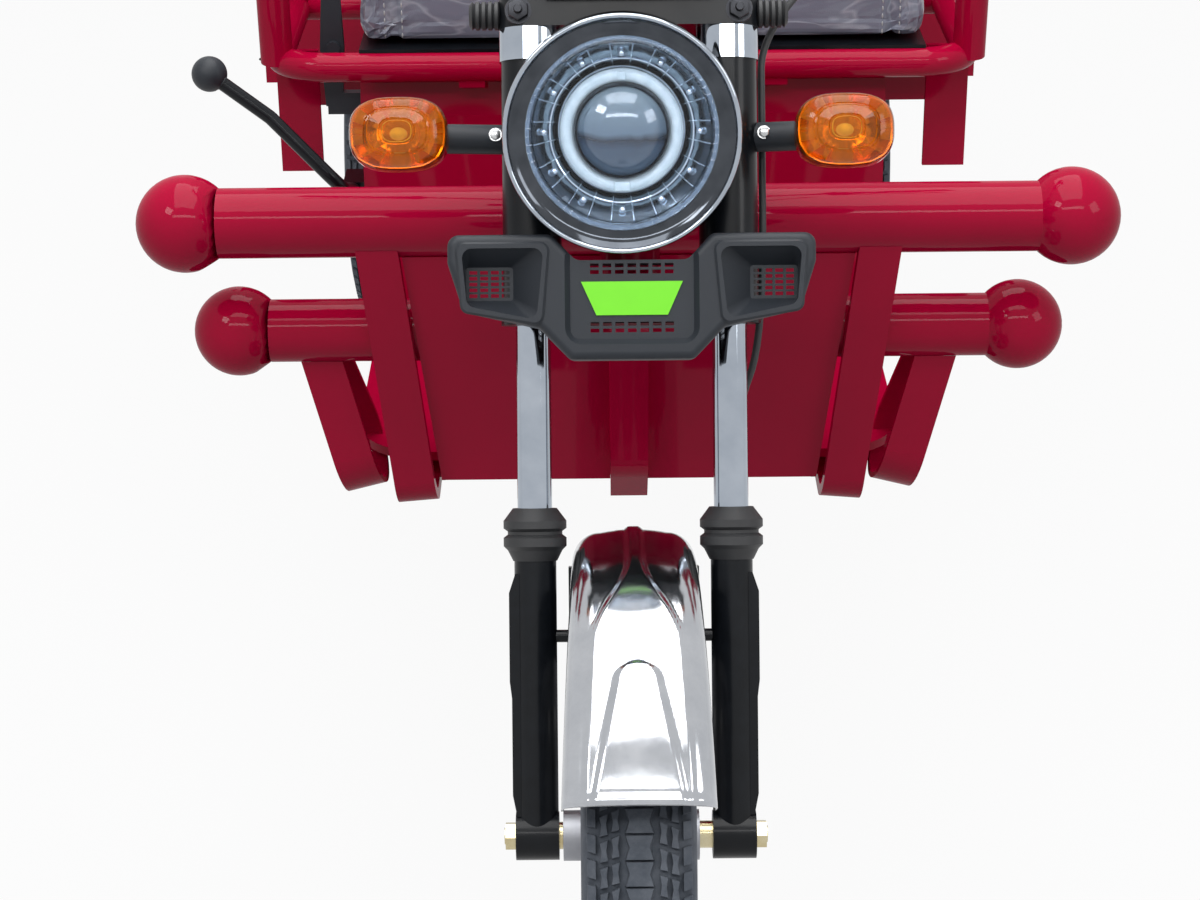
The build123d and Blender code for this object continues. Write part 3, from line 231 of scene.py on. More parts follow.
def grained_abs():
    """Moulded ABS with a spark-eroded grain of about 0.8 mm, matt with a soft sheen."""
    base = finish_of().plastic
    return clouded_finish("grained_abs", (shade(base, 0.82), shade(base, 1.15)), (14, 3),
                          (1250, 2, 0.22, 0.4),
                          values={"Roughness": 0.5, "IOR": 1.53, "Specular IOR Level": 0.3})


def chrome_plate():
    """Bright chrome plating: a clean mirror with faint wiping marks."""
    return clouded_finish("chrome_plate", paint("8E97A3", "B4BBC4"), (25, 5), None, (0.03, 0.1),
                          {"Metallic": 1.0})


def polished_stainless():
    """Pressed stainless sheet, polished, with soft clouds from the buffing wheel."""
    return clouded_finish("polished_stainless", paint("9EA2A8", "C4C6CA"), (22, 6), (38, 2, 0.06, 4),
                          (0.06, 0.2), {"Metallic": 1.0}, ragged=0.65)


def dusty_tyre_rubber():
    """Vulcanised rubber with a thin bloom of pale dust in patches."""
    material, tree, shader, place = start("dusty_tyre_rubber")
    # Patches of about 30 mm and grit of about 1.6 mm
    patch = add(tree, "ShaderNodeTexNoise", {"Vector": place, "Scale": 34.0, "Detail": 8.0, "Roughness": 0.7})
    cover = add(tree, "ShaderNodeMapRange", {"Value": patch.outputs["Fac"], "From Min": 0.4, "From Max": 1.0})
    dark, pale = paint("444A53", "777C84")
    tone = add(tree, "ShaderNodeMix", {0: cover.outputs[0], 6: dark, 7: pale}, data_type="RGBA")
    grit = add(tree, "ShaderNodeTexNoise", {"Vector": place, "Scale": 620.0, "Detail": 3.0})
    bump = add(tree, "ShaderNodeBump", {"Height": grit.outputs["Fac"], "Strength": 0.3, "Distance": 0.8 * MM})
    feed(shader, {"Base Color": tone.outputs[2], "Normal": bump.outputs["Normal"], "Roughness": 0.78})
    return material


def moulded_rubber():
    """Moulded black rubber: matt, with a slight bloom and a grain of about 1 mm."""
    return clouded_finish("moulded_rubber", paint("141416", "2E2F31"), (45, 4), (900, 2, 0.15, 0.5),
                          values={"Roughness": 0.55})


def metal(name, dark, pale, rough, grain_mm, strength):
    """A bare metal whose tone and polish vary in clouds of 25 mm, with a grain."""
    return clouded_finish(name, paint(dark, pale), (40, 5), (1000 / grain_mm, 2, strength, 0.6),
                          (rough * 0.7, rough * 1.3), {"Metallic": 1.0})


def cast_aluminium():
    """Die-cast aluminium: pale grey with a sandy skin of about 2 mm."""
    return metal("cast_aluminium", "8A8C92", "B4B5BA", 0.42, 2.0, 0.12)


def yellow_zinc():
    """Zinc plate with a yellow passivate that drifts towards pale straw."""
    return metal("yellow_zinc", "A8935A", "D8D2B8", 0.24, 3.0, 0.05)


def bright_steel():
    """Bright zinc on machined steel fasteners."""
    return metal("bright_steel", "9C9DA0", "D2D3D4", 0.22, 2.5, 0.06)


def dull_steel():
    """Rolled steel with thin dark oxide, as on spring leaves."""
    return metal("dull_steel", "2C2D31", "4B4C50", 0.45, 1.5, 0.15)


def mirror_glass():
    """Silvered mirror glass with a thin blue cast."""
    return metal("mirror_glass", "C9D2DC", "DCE3EA", 0.02, 6.0, 0.01)


def chrome_painted_dark():
    """Chrome plating of the lamp's dished ring, coloured almost black: a painted dark reflection on a mirror.
    """
    return metal("chrome_painted_dark", "2E3136", "565A60", 0.1, 5.0, 0.03)


def amber_mirror():
    """Plated facets behind the amber lens: bright, with a warm tint."""
    return metal("amber_mirror", "C98A48", "F0C890", 0.18, 4.0, 0.04)


def lamp_mirror():
    """Vacuum-plated reflector: a slightly blue mirror with soft waves of about 11 mm."""
    return clouded_finish("lamp_mirror", paint("6E7C88", "A8B4BE"), (90, 2), (90, 2, 0.06, 3),
                          values={"Metallic": 1.0, "Roughness": 0.12})


def clear_polycarbonate():
    """Clear lens of polycarbonate: thin, faintly blue and very glossy."""
    material, tree, shader, place = start("clear_polycarbonate")
    haze = add(tree, "ShaderNodeTexNoise", {"Vector": place, "Scale": 30.0, "Detail": 3.0})
    rough = add(tree, "ShaderNodeMapRange", {"Value": haze.outputs["Fac"], "To Min": 0.0, "To Max": 0.04})
    # The index is lower than the solid's 1.59, because the thin lens bends the view behind it less
    feed(shader, {"Roughness": rough.outputs[0], "Base Color": (*linear("F3F8FF"), 1),
                  "Transmission Weight": 1.0, "IOR": 1.25})
    return material


def amber_acrylic():
    """Moulded amber acrylic: clear and deep orange, with a slight flow in the moulding."""
    amber = finish_of().amber
    return clouded_finish("amber_acrylic", (shade(amber, 0.92), shade(amber, 1.05)), (40, 2),
                          values={"Roughness": 0.03, "IOR": 1.3, "Transmission Weight": 0.9})


def smoked_acrylic():
    """Smoked window of the instrument: nearly black and glossy, with faint clouds."""
    return clouded_finish("smoked_acrylic", paint("10151C", "243040"), (26, 2), values={"Roughness": 0.06})


def lime_acrylic():
    """Lime acrylic plate: half matt and almost even in colour."""
    lime = finish_of().plate
    return clouded_finish("lime_acrylic", (shade(lime, 0.95), shade(lime, 1.05)), (30, 4),
                          values={"Roughness": 0.4})


def red_acrylic():
    """Moulded red acrylic of the tail lamps, with square prisms of 8 mm."""
    material, tree, shader, place = start("red_acrylic")
    cells = add(tree, "ShaderNodeTexVoronoi", {"Vector": place, "Scale": 125.0, "Randomness": 0.0},
                feature="F1", distance="CHEBYCHEV").outputs["Distance"]
    pale, dark = paint("D80A12", "6A0206")
    tone = add(tree, "ShaderNodeMix", {0: cells, 6: pale, 7: dark}, data_type="RGBA")
    bump = add(tree, "ShaderNodeBump", {"Height": cells, "Strength": 0.4, "Distance": 3 * MM})
    feed(shader, {"Base Color": tone.outputs[2], "Normal": bump.outputs["Normal"], "Roughness": 0.12,
                  "Coat Weight": 1.0})
    return material


def projector_glass():
    """Thick projector lens: blue grey, with the dark edge of the shutter showing across its middle; its
    colour is lighter towards the top as a painted reflection and darker towards the bottom as painted shade.
    """
    material, tree, shader, place = start("projector_glass")
    low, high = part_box("headlamp_projector")
    height = add(tree, "ShaderNodeSeparateXYZ", {0: place}).outputs["Z"]
    share = add(tree, "ShaderNodeMapRange", {"Value": height, "From Min": low[2], "From Max": high[2]})
    blur = add(tree, "ShaderNodeTexNoise", {"Vector": place, "Scale": 60.0, "Detail": 3.0})
    wobble = add(tree, "ShaderNodeMath", {0: blur.outputs["Fac"], 1: 0.12, 2: share.outputs[0]},
                 operation="MULTIPLY_ADD")
    # Colour by height: the dark band is the shutter's edge, the lighter top a painted reflection, the darker
    # bottom painted shade
    shutter_and_painted_reflection = add(tree, "ShaderNodeValToRGB", {0: wobble.outputs[0]})
    stops = shutter_and_painted_reflection.color_ramp.elements
    stops[0].color, stops[1].color = paint("52687C", "8698A2")
    for spot, code in ((0.42, "3E5166"), (0.52, "1C2738"), (0.6, "66798A")):
        stops.new(spot).color = (*linear(code), 1)
    feed(shader, {"Base Color": shutter_and_painted_reflection.outputs[0], "Roughness": 0.08, "Coat Weight": 1.0,
                  "Coat Roughness": 0.01, "IOR": 1.52})
    return material


def lit_diffuser():
    """Milky light guide of the lamp's ring, lit from behind, with spots of about 8 mm."""
    material, tree, shader, place = start("lit_diffuser")
    spots = add(tree, "ShaderNodeTexNoise", {"Vector": place, "Scale": 120.0, "Detail": 2.0})
    dim, bright = paint("B4C8D2", "DCE8EE")
    tone = add(tree, "ShaderNodeMix", {0: spots.outputs["Fac"], 6: dim, 7: bright}, data_type="RGBA")
    feed(shader, {"Base Color": tone.outputs[2], "Emission Color": tone.outputs[2],
                  "Emission Strength": 0.22, "Roughness": 0.25})
    return material


def wrapped_leather():
    """Synthetic leather under clear packing film: fine grain, a loose crumpled gloss on top, and a painted
    highlight along the film's creases.
    """
    material, tree, shader, place = start("wrapped_leather")
    base = finish_of().leather
    cloud = add(tree, "ShaderNodeTexNoise", {"Vector": place, "Scale": 12.0, "Detail": 4.0})
    tone = add(tree, "ShaderNodeMix", {0: cloud.outputs["Fac"], 6: shade(base, 0.85), 7: shade(base, 1.15)},
               data_type="RGBA")
    # Leather cells of about 1.6 mm
    cells = add(tree, "ShaderNodeTexVoronoi", {"Vector": place, "Scale": 620.0}, feature="DISTANCE_TO_EDGE")
    grain = add(tree, "ShaderNodeBump", {"Height": cells.outputs["Distance"], "Strength": 0.3,
                                         "Distance": 0.8 * MM})
    # Folds of the film, some 80 mm long and 30 mm apart, with a pale painted highlight along their creases
    stretch = add(tree, "ShaderNodeMapping", {"Vector": place, "Scale": (0.4, 1.0, 1.0)})
    fold = add(tree, "ShaderNodeTexNoise", {"Vector": stretch.outputs[0], "Scale": 32.0, "Detail": 2.0,
                                            "Distortion": 0.6})
    level = add(tree, "ShaderNodeMath", {0: fold.outputs["Fac"], 1: 0.5}, operation="SUBTRACT")
    off = add(tree, "ShaderNodeMath", {0: level.outputs[0]}, operation="ABSOLUTE").outputs[0]
    crease = add(tree, "ShaderNodeMapRange", {"Value": off, "From Max": 0.05, "To Min": 0.3, "To Max": 0.0})
    glint = (*linear("C4C6CE"), 1)
    crease_painted_highlight = add(tree, "ShaderNodeMix", {0: crease.outputs[0], 6: tone.outputs[2], 7: glint},
                   data_type="RGBA")
    film = add(tree, "ShaderNodeBump", {"Height": off, "Strength": 0.6, "Distance": 6 * MM})
    feed(shader, {"Base Color": crease_painted_highlight.outputs[2], "Normal": grain.outputs["Normal"],
                  "Coat Normal": film.outputs["Normal"], "Roughness": 0.55, "Coat Weight": 0.6,
                  "Coat Roughness": 0.06})
    return material


def stitch_thread():
    """Twisted pale thread, with a twist of about 2.5 mm."""
    material, tree, shader, place = start("stitch_thread")
    twist = add(tree, "ShaderNodeTexWave", {"Vector": place, "Scale": 400.0}, bands_direction="DIAGONAL")
    dark, pale = paint("8E8E90", "B9B9BA")
    tone = add(tree, "ShaderNodeMix", {0: twist.outputs["Fac"], 6: dark, 7: pale}, data_type="RGBA")
    feed(shader, {"Base Color": tone.outputs[2], "Roughness": 0.8})
    return material


# Finish of the CAD nodes that stay in view
FINISHES = {
    red_enamel: ("bumper_upper", "bumper_lower", "main_frame", "shield_bars", "bumper_hoops", "leg_shield",
                 "footboard", "seat_box", "seat_frame", "bed_floor", "bed_front_wall", "bed_sides",
                 "tailgate"),
    black_enamel: ("frame_rails", "frame_crossmembers", "steering_stem", "fork_covers", "fork_lower_legs",
                   "rear_axle", "rear_crossbar", "backrest_frame", "seat_base", "brake_pedal", "gear_lever",
                   "brake_levers"),
    grained_abs: ("front_panel", "headlamp_bowl", "turn_signal_stalks", "instrument", "gear_knob",
                  "hand_brake", "mirrors", "battery_pack"),
    chrome_plate: ("fork_stanchions", "fork_collars", "handlebar"),
    chrome_painted_dark: ("headlamp_bezel",),
    cast_aluminium: ("front_wheel", "rear_right_wheel", "rear_left_wheel", "drive_motor"),
    yellow_zinc: ("front_axle",),
    dull_steel: ("leaf_springs",),
    clear_polycarbonate: ("headlamp_lens",),
    lamp_mirror: ("headlamp_reflector",),
    projector_glass: ("headlamp_projector",),
    lime_acrylic: ("panel_plate",),
    red_acrylic: ("tail_lamps",),
    moulded_rubber: ("grips", "fork_boots", "mud_flaps"),
}


class TRICYCLE_OT_finishes(bpy.types.Operator):
    """Gives every CAD piece its finish."""

    bl_idname = "tricycle.finishes"
    bl_label = "Finishes"

    def execute(self, context):
        for make, nodes in FINISHES.items():
            material = make()
            for name in nodes:
                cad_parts[name].material_slots[0].material = material
        return {"FINISHED"}


def at(x, y, z):
    """Shift by millimetres."""
    return Matrix.Translation((x * MM, y * MM, z * MM))


def facing(place, point, towards):
    """Frame at a point, in millimetres, whose Z axis points some way."""
    return place @ at(*point) @ Vector(towards).to_track_quat("Z", "Y").to_matrix().to_4x4()


def handed(point, side):
    """A point on one side of the vehicle."""
    return point * Vector((side, 1, 1))


def coat(make):
    """A finish, made once."""
    return bpy.data.materials.get(make.__name__) or make()


def piece(name, shape, make, body, angle=32):
    """Turns a bmesh into an object with its finish that rides on a body."""
    mesh = bpy.data.meshes.new(name)
    shape.to_mesh(mesh)
    shape.free()
    mesh.materials.append(coat(make))
    mesh.shade_smooth()
    mesh.set_sharp_from_angle(angle=radians(angle))
    thing = bpy.data.objects.new(name, mesh)
    bpy.context.collection.objects.link(thing)
    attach(thing, body)
    return thing


def lathe(points, place, steps=64, closed=True):
    """Turns an outline of (radius, height) in millimetres about the Z axis of a frame."""
    shape = bmesh.new()
    verts = [shape.verts.new((r * MM, 0, z * MM)) for r, z in points]
    ends = verts[1:] + verts[:1] if closed else verts[1:]
    edges = [shape.edges.new(pair) for pair in zip(verts, ends)]
    bmesh.ops.spin(shape, geom=verts + edges, cent=(0, 0, 0), axis=(0, 0, 1), angle=2 * pi, steps=steps,
                   use_merge=True)
    bmesh.ops.remove_doubles(shape, verts=shape.verts, dist=1e-6)
    bmesh.ops.recalc_face_normals(shape, faces=shape.faces)
    bmesh.ops.transform(shape, matrix=place, verts=shape.verts)
    return shape


def scatter(one, places):
    """Copies of a shape, one at each frame."""
    mesh = bpy.data.meshes.new("pattern")
    one.to_mesh(mesh)
    one.free()
    shape = bmesh.new()
    for place in places:
        first = len(shape.verts)
        shape.from_mesh(mesh)
        shape.verts.ensure_lookup_table()
        bmesh.ops.transform(shape, matrix=place, verts=shape.verts[first:])
    bpy.data.meshes.remove(mesh)
    return shape


def bolts(places, across, tall):
    """Chamfered hex heads on washers, in millimetres, one at each frame."""
    one = bmesh.new()
    size, height = across * MM, tall * MM
    bmesh.ops.create_cone(one, cap_ends=True, segments=24, radius1=0.74 * size, radius2=0.7 * size,
                          depth=0.2 * height, matrix=at(0, 0, 0.1 * tall))
    bmesh.ops.create_cone(one, cap_ends=True, segments=6, radius1=0.577 * size, radius2=0.577 * size,
                          depth=0.8 * height, matrix=at(0, 0, 0.6 * tall))
    rim = [e for e in one.edges if all(v.co.z > 0.99 * height for v in e.verts)]
    bmesh.ops.bevel(one, geom=rim, offset=0.09 * size, segments=2, profile=0.5, affect="EDGES", material=-1)
    return scatter(one, places)


def rounded_box(size, soft, place):
    """Box in millimetres with rounded edges, in the middle of a frame."""
    shape = bmesh.new()
    bmesh.ops.create_cube(shape, size=1, matrix=Matrix.Diagonal((*(side * MM for side in size), 1)))
    bmesh.ops.bevel(shape, geom=shape.edges[:], offset=soft * MM, segments=3, profile=0.5, affect="EDGES",
                    material=-1)
    bmesh.ops.transform(shape, matrix=place, verts=shape.verts)
    return shape


def join(*shapes):
    """One bmesh from several."""
    whole = shapes[0]
    for other in shapes[1:]:
        mesh = bpy.data.meshes.new("part")
        other.to_mesh(mesh)
        other.free()
        whole.from_mesh(mesh)
        bpy.data.meshes.remove(mesh)
    return whole


def ease(value):
    """Smooth step from 0 to 1."""
    value = max(0, min(1, value))
    return value * value * (3 - 2 * value)


def crown_r(x):
    """Radius of the tread's crown at a distance from the middle of the tyre."""
    return TYRE_R / MM - CROWN_ARC_R + sqrt(CROWN_ARC_R ** 2 - x * x)


# Rows of tread blocks: inner and outer edge across the tread, and lead along it
TREAD_PITCHES = 35
MID_ROWS = ((17, 24.5, 0), (27, 34.5, 4))
LUG_ROW = (37.5, 45.5)


def tread_outlines(pitch):
    """Outlines of the blocks in one pitch of the tread."""
    half = pitch / 2
    for step in (0, 1):
        low, high, waist = step * half + 0.5, (step + 1) * half - 0.5, (step + 0.5) * half
        yield [(-13, low), (13, low), (9.5, waist), (13, high), (-13, high), (-9.5, waist)]
        for side in (-1, 1):
            shift = half * 0.5 if side > 0 else 0
            for inner, outer, lead in MID_ROWS:
                near, far = low + lead + shift, high + lead + shift - 3
                bend = (near + far) / 2
                yield [(side * inner, near), (side * outer, near + 3), (side * (outer - 1.5), bend + 2),
                       (side * outer, far + 2), (side * inner, far), (side * (inner + 1.5), bend)]
            inner, outer = LUG_ROW
            yield [(side * inner, low + shift), (side * outer, low + shift - 2),
                   (side * outer, high + shift - 7), (side * inner, high + shift - 5)]


def tread_pitch(depth):
    """Blocks of one pitch, drawn flat, raised with a slight draft and bent round the crown."""
    shape = bmesh.new()
    pitch = 2 * pi * TYRE_R / MM / TREAD_PITCHES
    for corners in tread_outlines(pitch):
        base = shape.faces.new([shape.verts.new((x * MM, s * MM, 0)) for x, s in corners])
        centre = base.calc_center_median()
        raised = bmesh.ops.extrude_face_region(shape, geom=[base])["geom"]
        top = [v for v in raised if isinstance(v, bmesh.types.BMVert)]
        bmesh.ops.translate(shape, vec=(0, 0, depth), verts=top)
        bmesh.ops.scale(shape, vec=(0.9, 0.94, 1), space=Matrix.Translation(-centre), verts=top)
    for vert in shape.verts:
        x, s, lift = vert.co
        radius = crown_r(x / MM) * MM - depth + lift
        vert.co = (x, -radius * sin(s / TYRE_R), radius * cos(s / TYRE_R))
    bmesh.ops.recalc_face_normals(shape, faces=shape.faces)
    return shape


def tyre_shape(depth):
    """Carcass turned about X with the tread's blocks repeated round it."""
    shape = tread_pitch(depth)
    steps = TREAD_PITCHES - 1
    bmesh.ops.spin(shape, geom=shape.verts[:] + shape.edges[:] + shape.faces[:], cent=(0, 0, 0),
                   axis=(1, 0, 0), angle=2 * pi * steps / TREAD_PITCHES, steps=steps, use_duplicate=True)
    sunk = depth / MM
    crown = [(crown_r(x) - sunk, x) for x in range(-TREAD_HALF, TREAD_HALF + 1, 8)]
    wall = [(BEAD_R, BEAD_X), (166, BEAD_X), (176, 43.5), (190, 49), (205, 51), (220, 49.8), (232, 47.2)]
    ring = [(r, -x) for r, x in wall] + crown + list(reversed(wall))
    ring += [(BEAD_R, BEAD_X - 9), (205, 41), (SHOULDER_R - 13, 34), (SHOULDER_R - 13, -34), (205, -41),
             (BEAD_R, 9 - BEAD_X)]
    return join(lathe(ring, Matrix.Rotation(pi / 2, 4, "Y"), steps=96), shape)


class TRICYCLE_OT_tyres(bpy.types.Operator):
    """Three tyres with zigzag road tread."""

    bl_idname = "tricycle.tyres"
    bl_label = "Tyres"

    def execute(self, context):
        for wheel in ("front", "rear_right", "rear_left"):
            shape = tyre_shape(sizes_of().tread_depth)
            bmesh.ops.translate(shape, vec=middle(f"{wheel}_tyre"), verts=shape.verts)
            thing = piece(f"{wheel}_treaded_tyre", shape, dusty_tyre_rubber, f"{wheel}_wheel")
            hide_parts(f"{wheel}_tyre")
        return {"FINISHED"}


def guard_half(angle):
    """Half width of the mudguard at an angle up from straight ahead."""
    if angle < FLARE:
        return GUARD_HALF + 7 * ((FLARE - angle) / (FLARE - GUARD_FRONT)) ** 1.15
    return GUARD_HALF - 2.8 * sin(pi * (angle - FLARE) / (GUARD_BACK - FLARE))


def guard_section(share, angle):
    """Place across and height of a point at a share of the way from the ridge to the skirt's edge."""
    half = guard_half(angle)
    flat = half - GUARD_CORNER
    skirt = min(55, 38 + 17 * (angle - GUARD_FRONT) / (FLARE - GUARD_FRONT))
    bend = GUARD_CORNER * pi / 2
    run = abs(share) * (flat + bend + skirt - GUARD_CORNER)
    side = 1 if share > 0 else -1
    if run < flat:
        return side * run, 3 * (1 - (run / flat) ** 2)
    if run < flat + bend:
        turn = (run - flat) / GUARD_CORNER
        return side * (flat + GUARD_CORNER * sin(turn)), -GUARD_CORNER * (1 - cos(turn))
    return side * half, flat + bend - run - GUARD_CORNER


def guard_press(across, angle, step):
    """Height of the pressed steps: a narrow ridge that flares forward, and an arch near the lip."""
    if angle > RIDGE_OPEN:
        opened = ease((RIDGE_CLOSED - angle) / (RIDGE_CLOSED - RIDGE_OPEN))
        ridge = RIDGE_HALF + (RIDGE_WIDE - RIDGE_HALF) * opened
    else:
        ridge = RIDGE_WIDE + 7 * (RIDGE_OPEN - angle) / (RIDGE_OPEN - GUARD_FRONT)
    height = step * ease((ridge - abs(across)) / 5)
    along = radians(angle - ARCH_TOP) * GUARD_R
    if along > 0:
        inside = ARCH_R - sqrt(across * across + along * along)
    else:
        inside = ARCH_R - 0.2 * along - abs(across)
    height += step * ease(inside / 7)
    return height + 2.5 * sin(pi * max(0, 1 - (angle - GUARD_FRONT) / 2))


class TRICYCLE_OT_mudguard(bpy.types.Operator):
    """Polished mudguard with its pressed ridge, arch and rolled lip."""

    bl_idname = "tricycle.mudguard"
    bl_label = "Mudguard"

    def execute(self, context):
        shape = bmesh.new()
        bmesh.ops.create_grid(shape, x_segments=90, y_segments=230, size=1)
        step = sizes_of().emboss / MM
        for vert in shape.verts:
            angle = GUARD_FRONT + (GUARD_BACK - GUARD_FRONT) * (vert.co.y + 1) / 2
            across, height = guard_section(vert.co.x, angle)
            radius = (GUARD_R + height + guard_press(across, angle, step)) * MM
            turn = radians(angle)
            vert.co = FRONT_AXLE + Vector((across * MM, -radius * cos(turn), radius * sin(turn)))
        bmesh.ops.recalc_face_normals(shape, faces=shape.faces)
        shape.faces.ensure_lookup_table()
        crest = max(shape.faces, key=lambda face: face.calc_center_median().z)
        if crest.normal.z < 0:
            bmesh.ops.reverse_faces(shape, faces=shape.faces)
        thing = piece("pressed_mudguard", shape, polished_stainless, "steering", 60)
        wall = thing.modifiers.new("sheet", "SOLIDIFY")
        wall.thickness = 2 * MM
        wall.offset = -1
        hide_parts("front_mudguard")
        return {"FINISHED"}


LAMP = FORK @ at(LAMP_X, LAMP_Y, LAMP_Z) @ Matrix.Rotation(radians(LAMP_TILT), 4, "X")
LAMP_FACE = LAMP @ Matrix.Rotation(pi / 2, 4, "X")


def round_section(radius, height, thick, corners=10):
    """Outline of a round bar bent to a ring, as (radius, height)."""
    return [(radius + thick * cos(2 * pi * k / corners), height + thick * sin(2 * pi * k / corners))
            for k in range(corners)]


def fluted(points, flutes, deep, place):
    """Turned ring whose face is pressed into flutes, in millimetres."""
    shape = lathe(points, WORLD, steps=flutes * 4)
    for vert in shape.verts:
        turn = atan2(vert.co.y, vert.co.x)
        vert.co.z -= deep * MM * abs(cos(turn * flutes / 2))
    bmesh.ops.transform(shape, matrix=place, verts=shape.verts)
    return shape


# Cone of the lamp's reflector: its wall in millimetres, its flutes and the slope of the ribs between them
CONE_SKIN, CELLS, RIB_SLOPE = 1, 24, atan2(26.4, 22)


class TRICYCLE_OT_headlamp(bpy.types.Operator):
    """Bright lip, ribbed rim, fluted and ribbed reflector, studs and lit ring of the headlamp."""

    bl_idname = "tricycle.headlamp"
    bl_label = "Headlamp"

    def execute(self, context):
        lip = lathe(round_section(BEZEL_R - 2.2, BEZEL_LIP - 0.5, 2.4), LAMP_FACE, steps=128)
        piece("headlamp_lip", lip, chrome_plate, "steering", 60)
        rim = fluted([(83.5, 3.6), (88.4, 3.6), (88.4, 6.2), (83.5, 6.8)], 72, 1.1, LAMP_FACE)
        piece("headlamp_ribbed_rim", rim, clear_polycarbonate, "steering", 20)
        cone = [(60, -28), (71, -14.8), (82, -1.7)]
        cone += [(r, z - CONE_SKIN) for r, z in reversed(cone)]
        flutes = fluted(cone, CELLS, 0.8, LAMP_FACE)
        piece("headlamp_flutes", flutes, lamp_mirror, "steering", 25)
        slope = Matrix.Rotation(-RIB_SLOPE, 4, "Y")
        spokes = [LAMP_FACE @ Matrix.Rotation(2 * pi * (k + 0.5) / CELLS, 4, "Z") @ at(71, 0, -14.2) @ slope
                  for k in range(CELLS)]
        rib = rounded_box((33, 1.3, 2.4), 0.5, WORLD)
        step = lathe(round_section(66.5, -19.4, 1.1), LAMP_FACE, steps=96)
        piece("headlamp_ribs", join(scatter(rib, spokes), step), mirror_glass, "steering")
        dome = bmesh.new()
        bmesh.ops.create_icosphere(dome, subdivisions=3, radius=3.4 * MM)
        studs = [LAMP_FACE @ Matrix.Rotation(2 * pi * k / 12, 4, "Z") @ at(72, 0, -11.4) for k in range(12)]
        piece("headlamp_studs", scatter(dome, studs), mirror_glass, "steering", 60)
        ring = [(45, -25), (45, -22), (46, -19.4), (48.2, -17.6), (51, -17), (53.8, -17.6),
                (HALO_R - 1, -19.4), (HALO_R, -22), (HALO_R, -25)]
        piece("headlamp_halo", lathe(ring, LAMP_FACE, steps=96), lit_diffuser, "steering")
        blocks = join(rounded_box((15, 9, 5), 1.5, LAMP_FACE @ at(0, -51, -15.5)),
                      rounded_box((8, 8, 4), 1, LAMP_FACE @ at(0, 51, -16)))
        piece("headlamp_light_blocks", blocks, lit_diffuser, "steering")
        bore = PROJECTOR_R + 0.3
        collar = [(bore, -30), (bore, -15), (PROJECTOR_R + 2, -13), (44.6, -16), (44.6, -30)]
        piece("projector_collar", lathe(collar, LAMP_FACE, steps=96), chrome_painted_dark, "steering")
        return {"FINISHED"}


class TRICYCLE_OT_signals(bpy.types.Operator):
    """Amber lenses with the faceted mirrors and bulbs inside them."""

    bl_idname = "tricycle.signals"
    bl_label = "Turn signals"

    def execute(self, context):
        def oval(shape):
            """Squares the sides of a turned shape a little, as the moulding does."""
            for vert in shape.verts:
                turn = atan2(vert.co.y, vert.co.x)
                reach = (abs(cos(turn)) ** 2.8 + abs(sin(turn)) ** 2.8) ** (-1 / 2.8)
                vert.co.x *= reach
                vert.co.y *= reach
            return shape

        squash = Matrix.Diagonal((1, SIGNAL_H / SIGNAL_W, 1, 1))
        places = [facing(FORK, (LAMP_X + side * SIGNAL_X, SIGNAL_Y, SIGNAL_Z), (0, -1, 0)) @ squash
                  for side in (-1, 1)]
        outline = [(0, 3), (9, 4), (20, 8), (31, 15), (39, 25), (41, 25), (41, 1), (0, 1)]
        cup = oval(lathe(outline, WORLD, steps=18, closed=False))
        piece("signal_facets", scatter(cup, places), amber_mirror, "steering", 5)
        outline = [(0, 45), (13, 45), (14, 43.5), (16, 43.5), (17, 45), (27, 44.5), (28, 43), (30, 42.5),
                   (31, 43.5), (38, 41), (43, 36), (45.5, 28), (46, 18), (46, 0), (0, 0)]
        lens = oval(lathe(outline, WORLD, steps=72, closed=False))
        glass = piece("moulded_signal_lenses", scatter(lens, places), amber_acrylic, "steering",
                      40)
        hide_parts("turn_signal_lenses")
        outline = [(0, 22), (5, 21), (8, 17), (8.5, 12), (6, 6), (6, 3), (0, 3)]
        bulb = lathe(outline, WORLD, 24, False)
        piece("signal_bulbs", scatter(bulb, places), lit_diffuser, "steering", 60)
        return {"FINISHED"}


class TRICYCLE_OT_fork(bpy.types.Operator):
    """Clamp bolts, ribbed rubbers and screws of the fork."""

    bl_idname = "tricycle.fork"
    bl_label = "Fork trim"

    def execute(self, context):
        sides = (-1, 1)
        ends = [facing(FORK, handed(CLAMP_BOLT, side), (0, -1, 0)) for side in sides]
        stud = lathe([(0, 17), (3.4, 17), (4.2, 16), (4.2, 0), (0, 0)], WORLD, 20, False)
        clamp = join(bolts(ends, 18, 11), scatter(stud, ends))
        piece("clamp_bolts", clamp, dull_steel, "steering")
        outline = [(0, 0), (12, 0)]
        for rib in range(4):
            outline += [(13.6, 1.5 + 6 * rib), (13.6, 4.5 + 6 * rib), (11.4, 6 + 6 * rib)]
        outline += [(13.6, 26), (10, 29), (0, 29)]
        rubber = lathe(outline, WORLD, 40, False)
        ends = [facing(FORK, (side * (LEG_X + CLAMP_R - 1), 0, CLAMP_Z), (side, 0, 0)) for side in sides]
        piece("clamp_rubbers", scatter(rubber, ends), moulded_rubber, "steering")
        screws = [facing(FORK, handed(LAMP_SCREW, side), (0, -1, 0)) for side in sides]
        piece("lamp_screws", bolts(screws, 9, 5), bright_steel, "steering")
        return {"FINISHED"}


# Control points of the brake cable, in the frame of the fork
CABLE_POINTS = ((214, 46, 890), (190, 30, 836), (127.2, 24, 760), (127.2, 19, 700), (127.2, 19, 470),
                (99.5, 40, 400), (93.5, 40, 258), (93.5, 23.7, 230), (93.5, 23.7, 150))
CABLE_R = 3.5


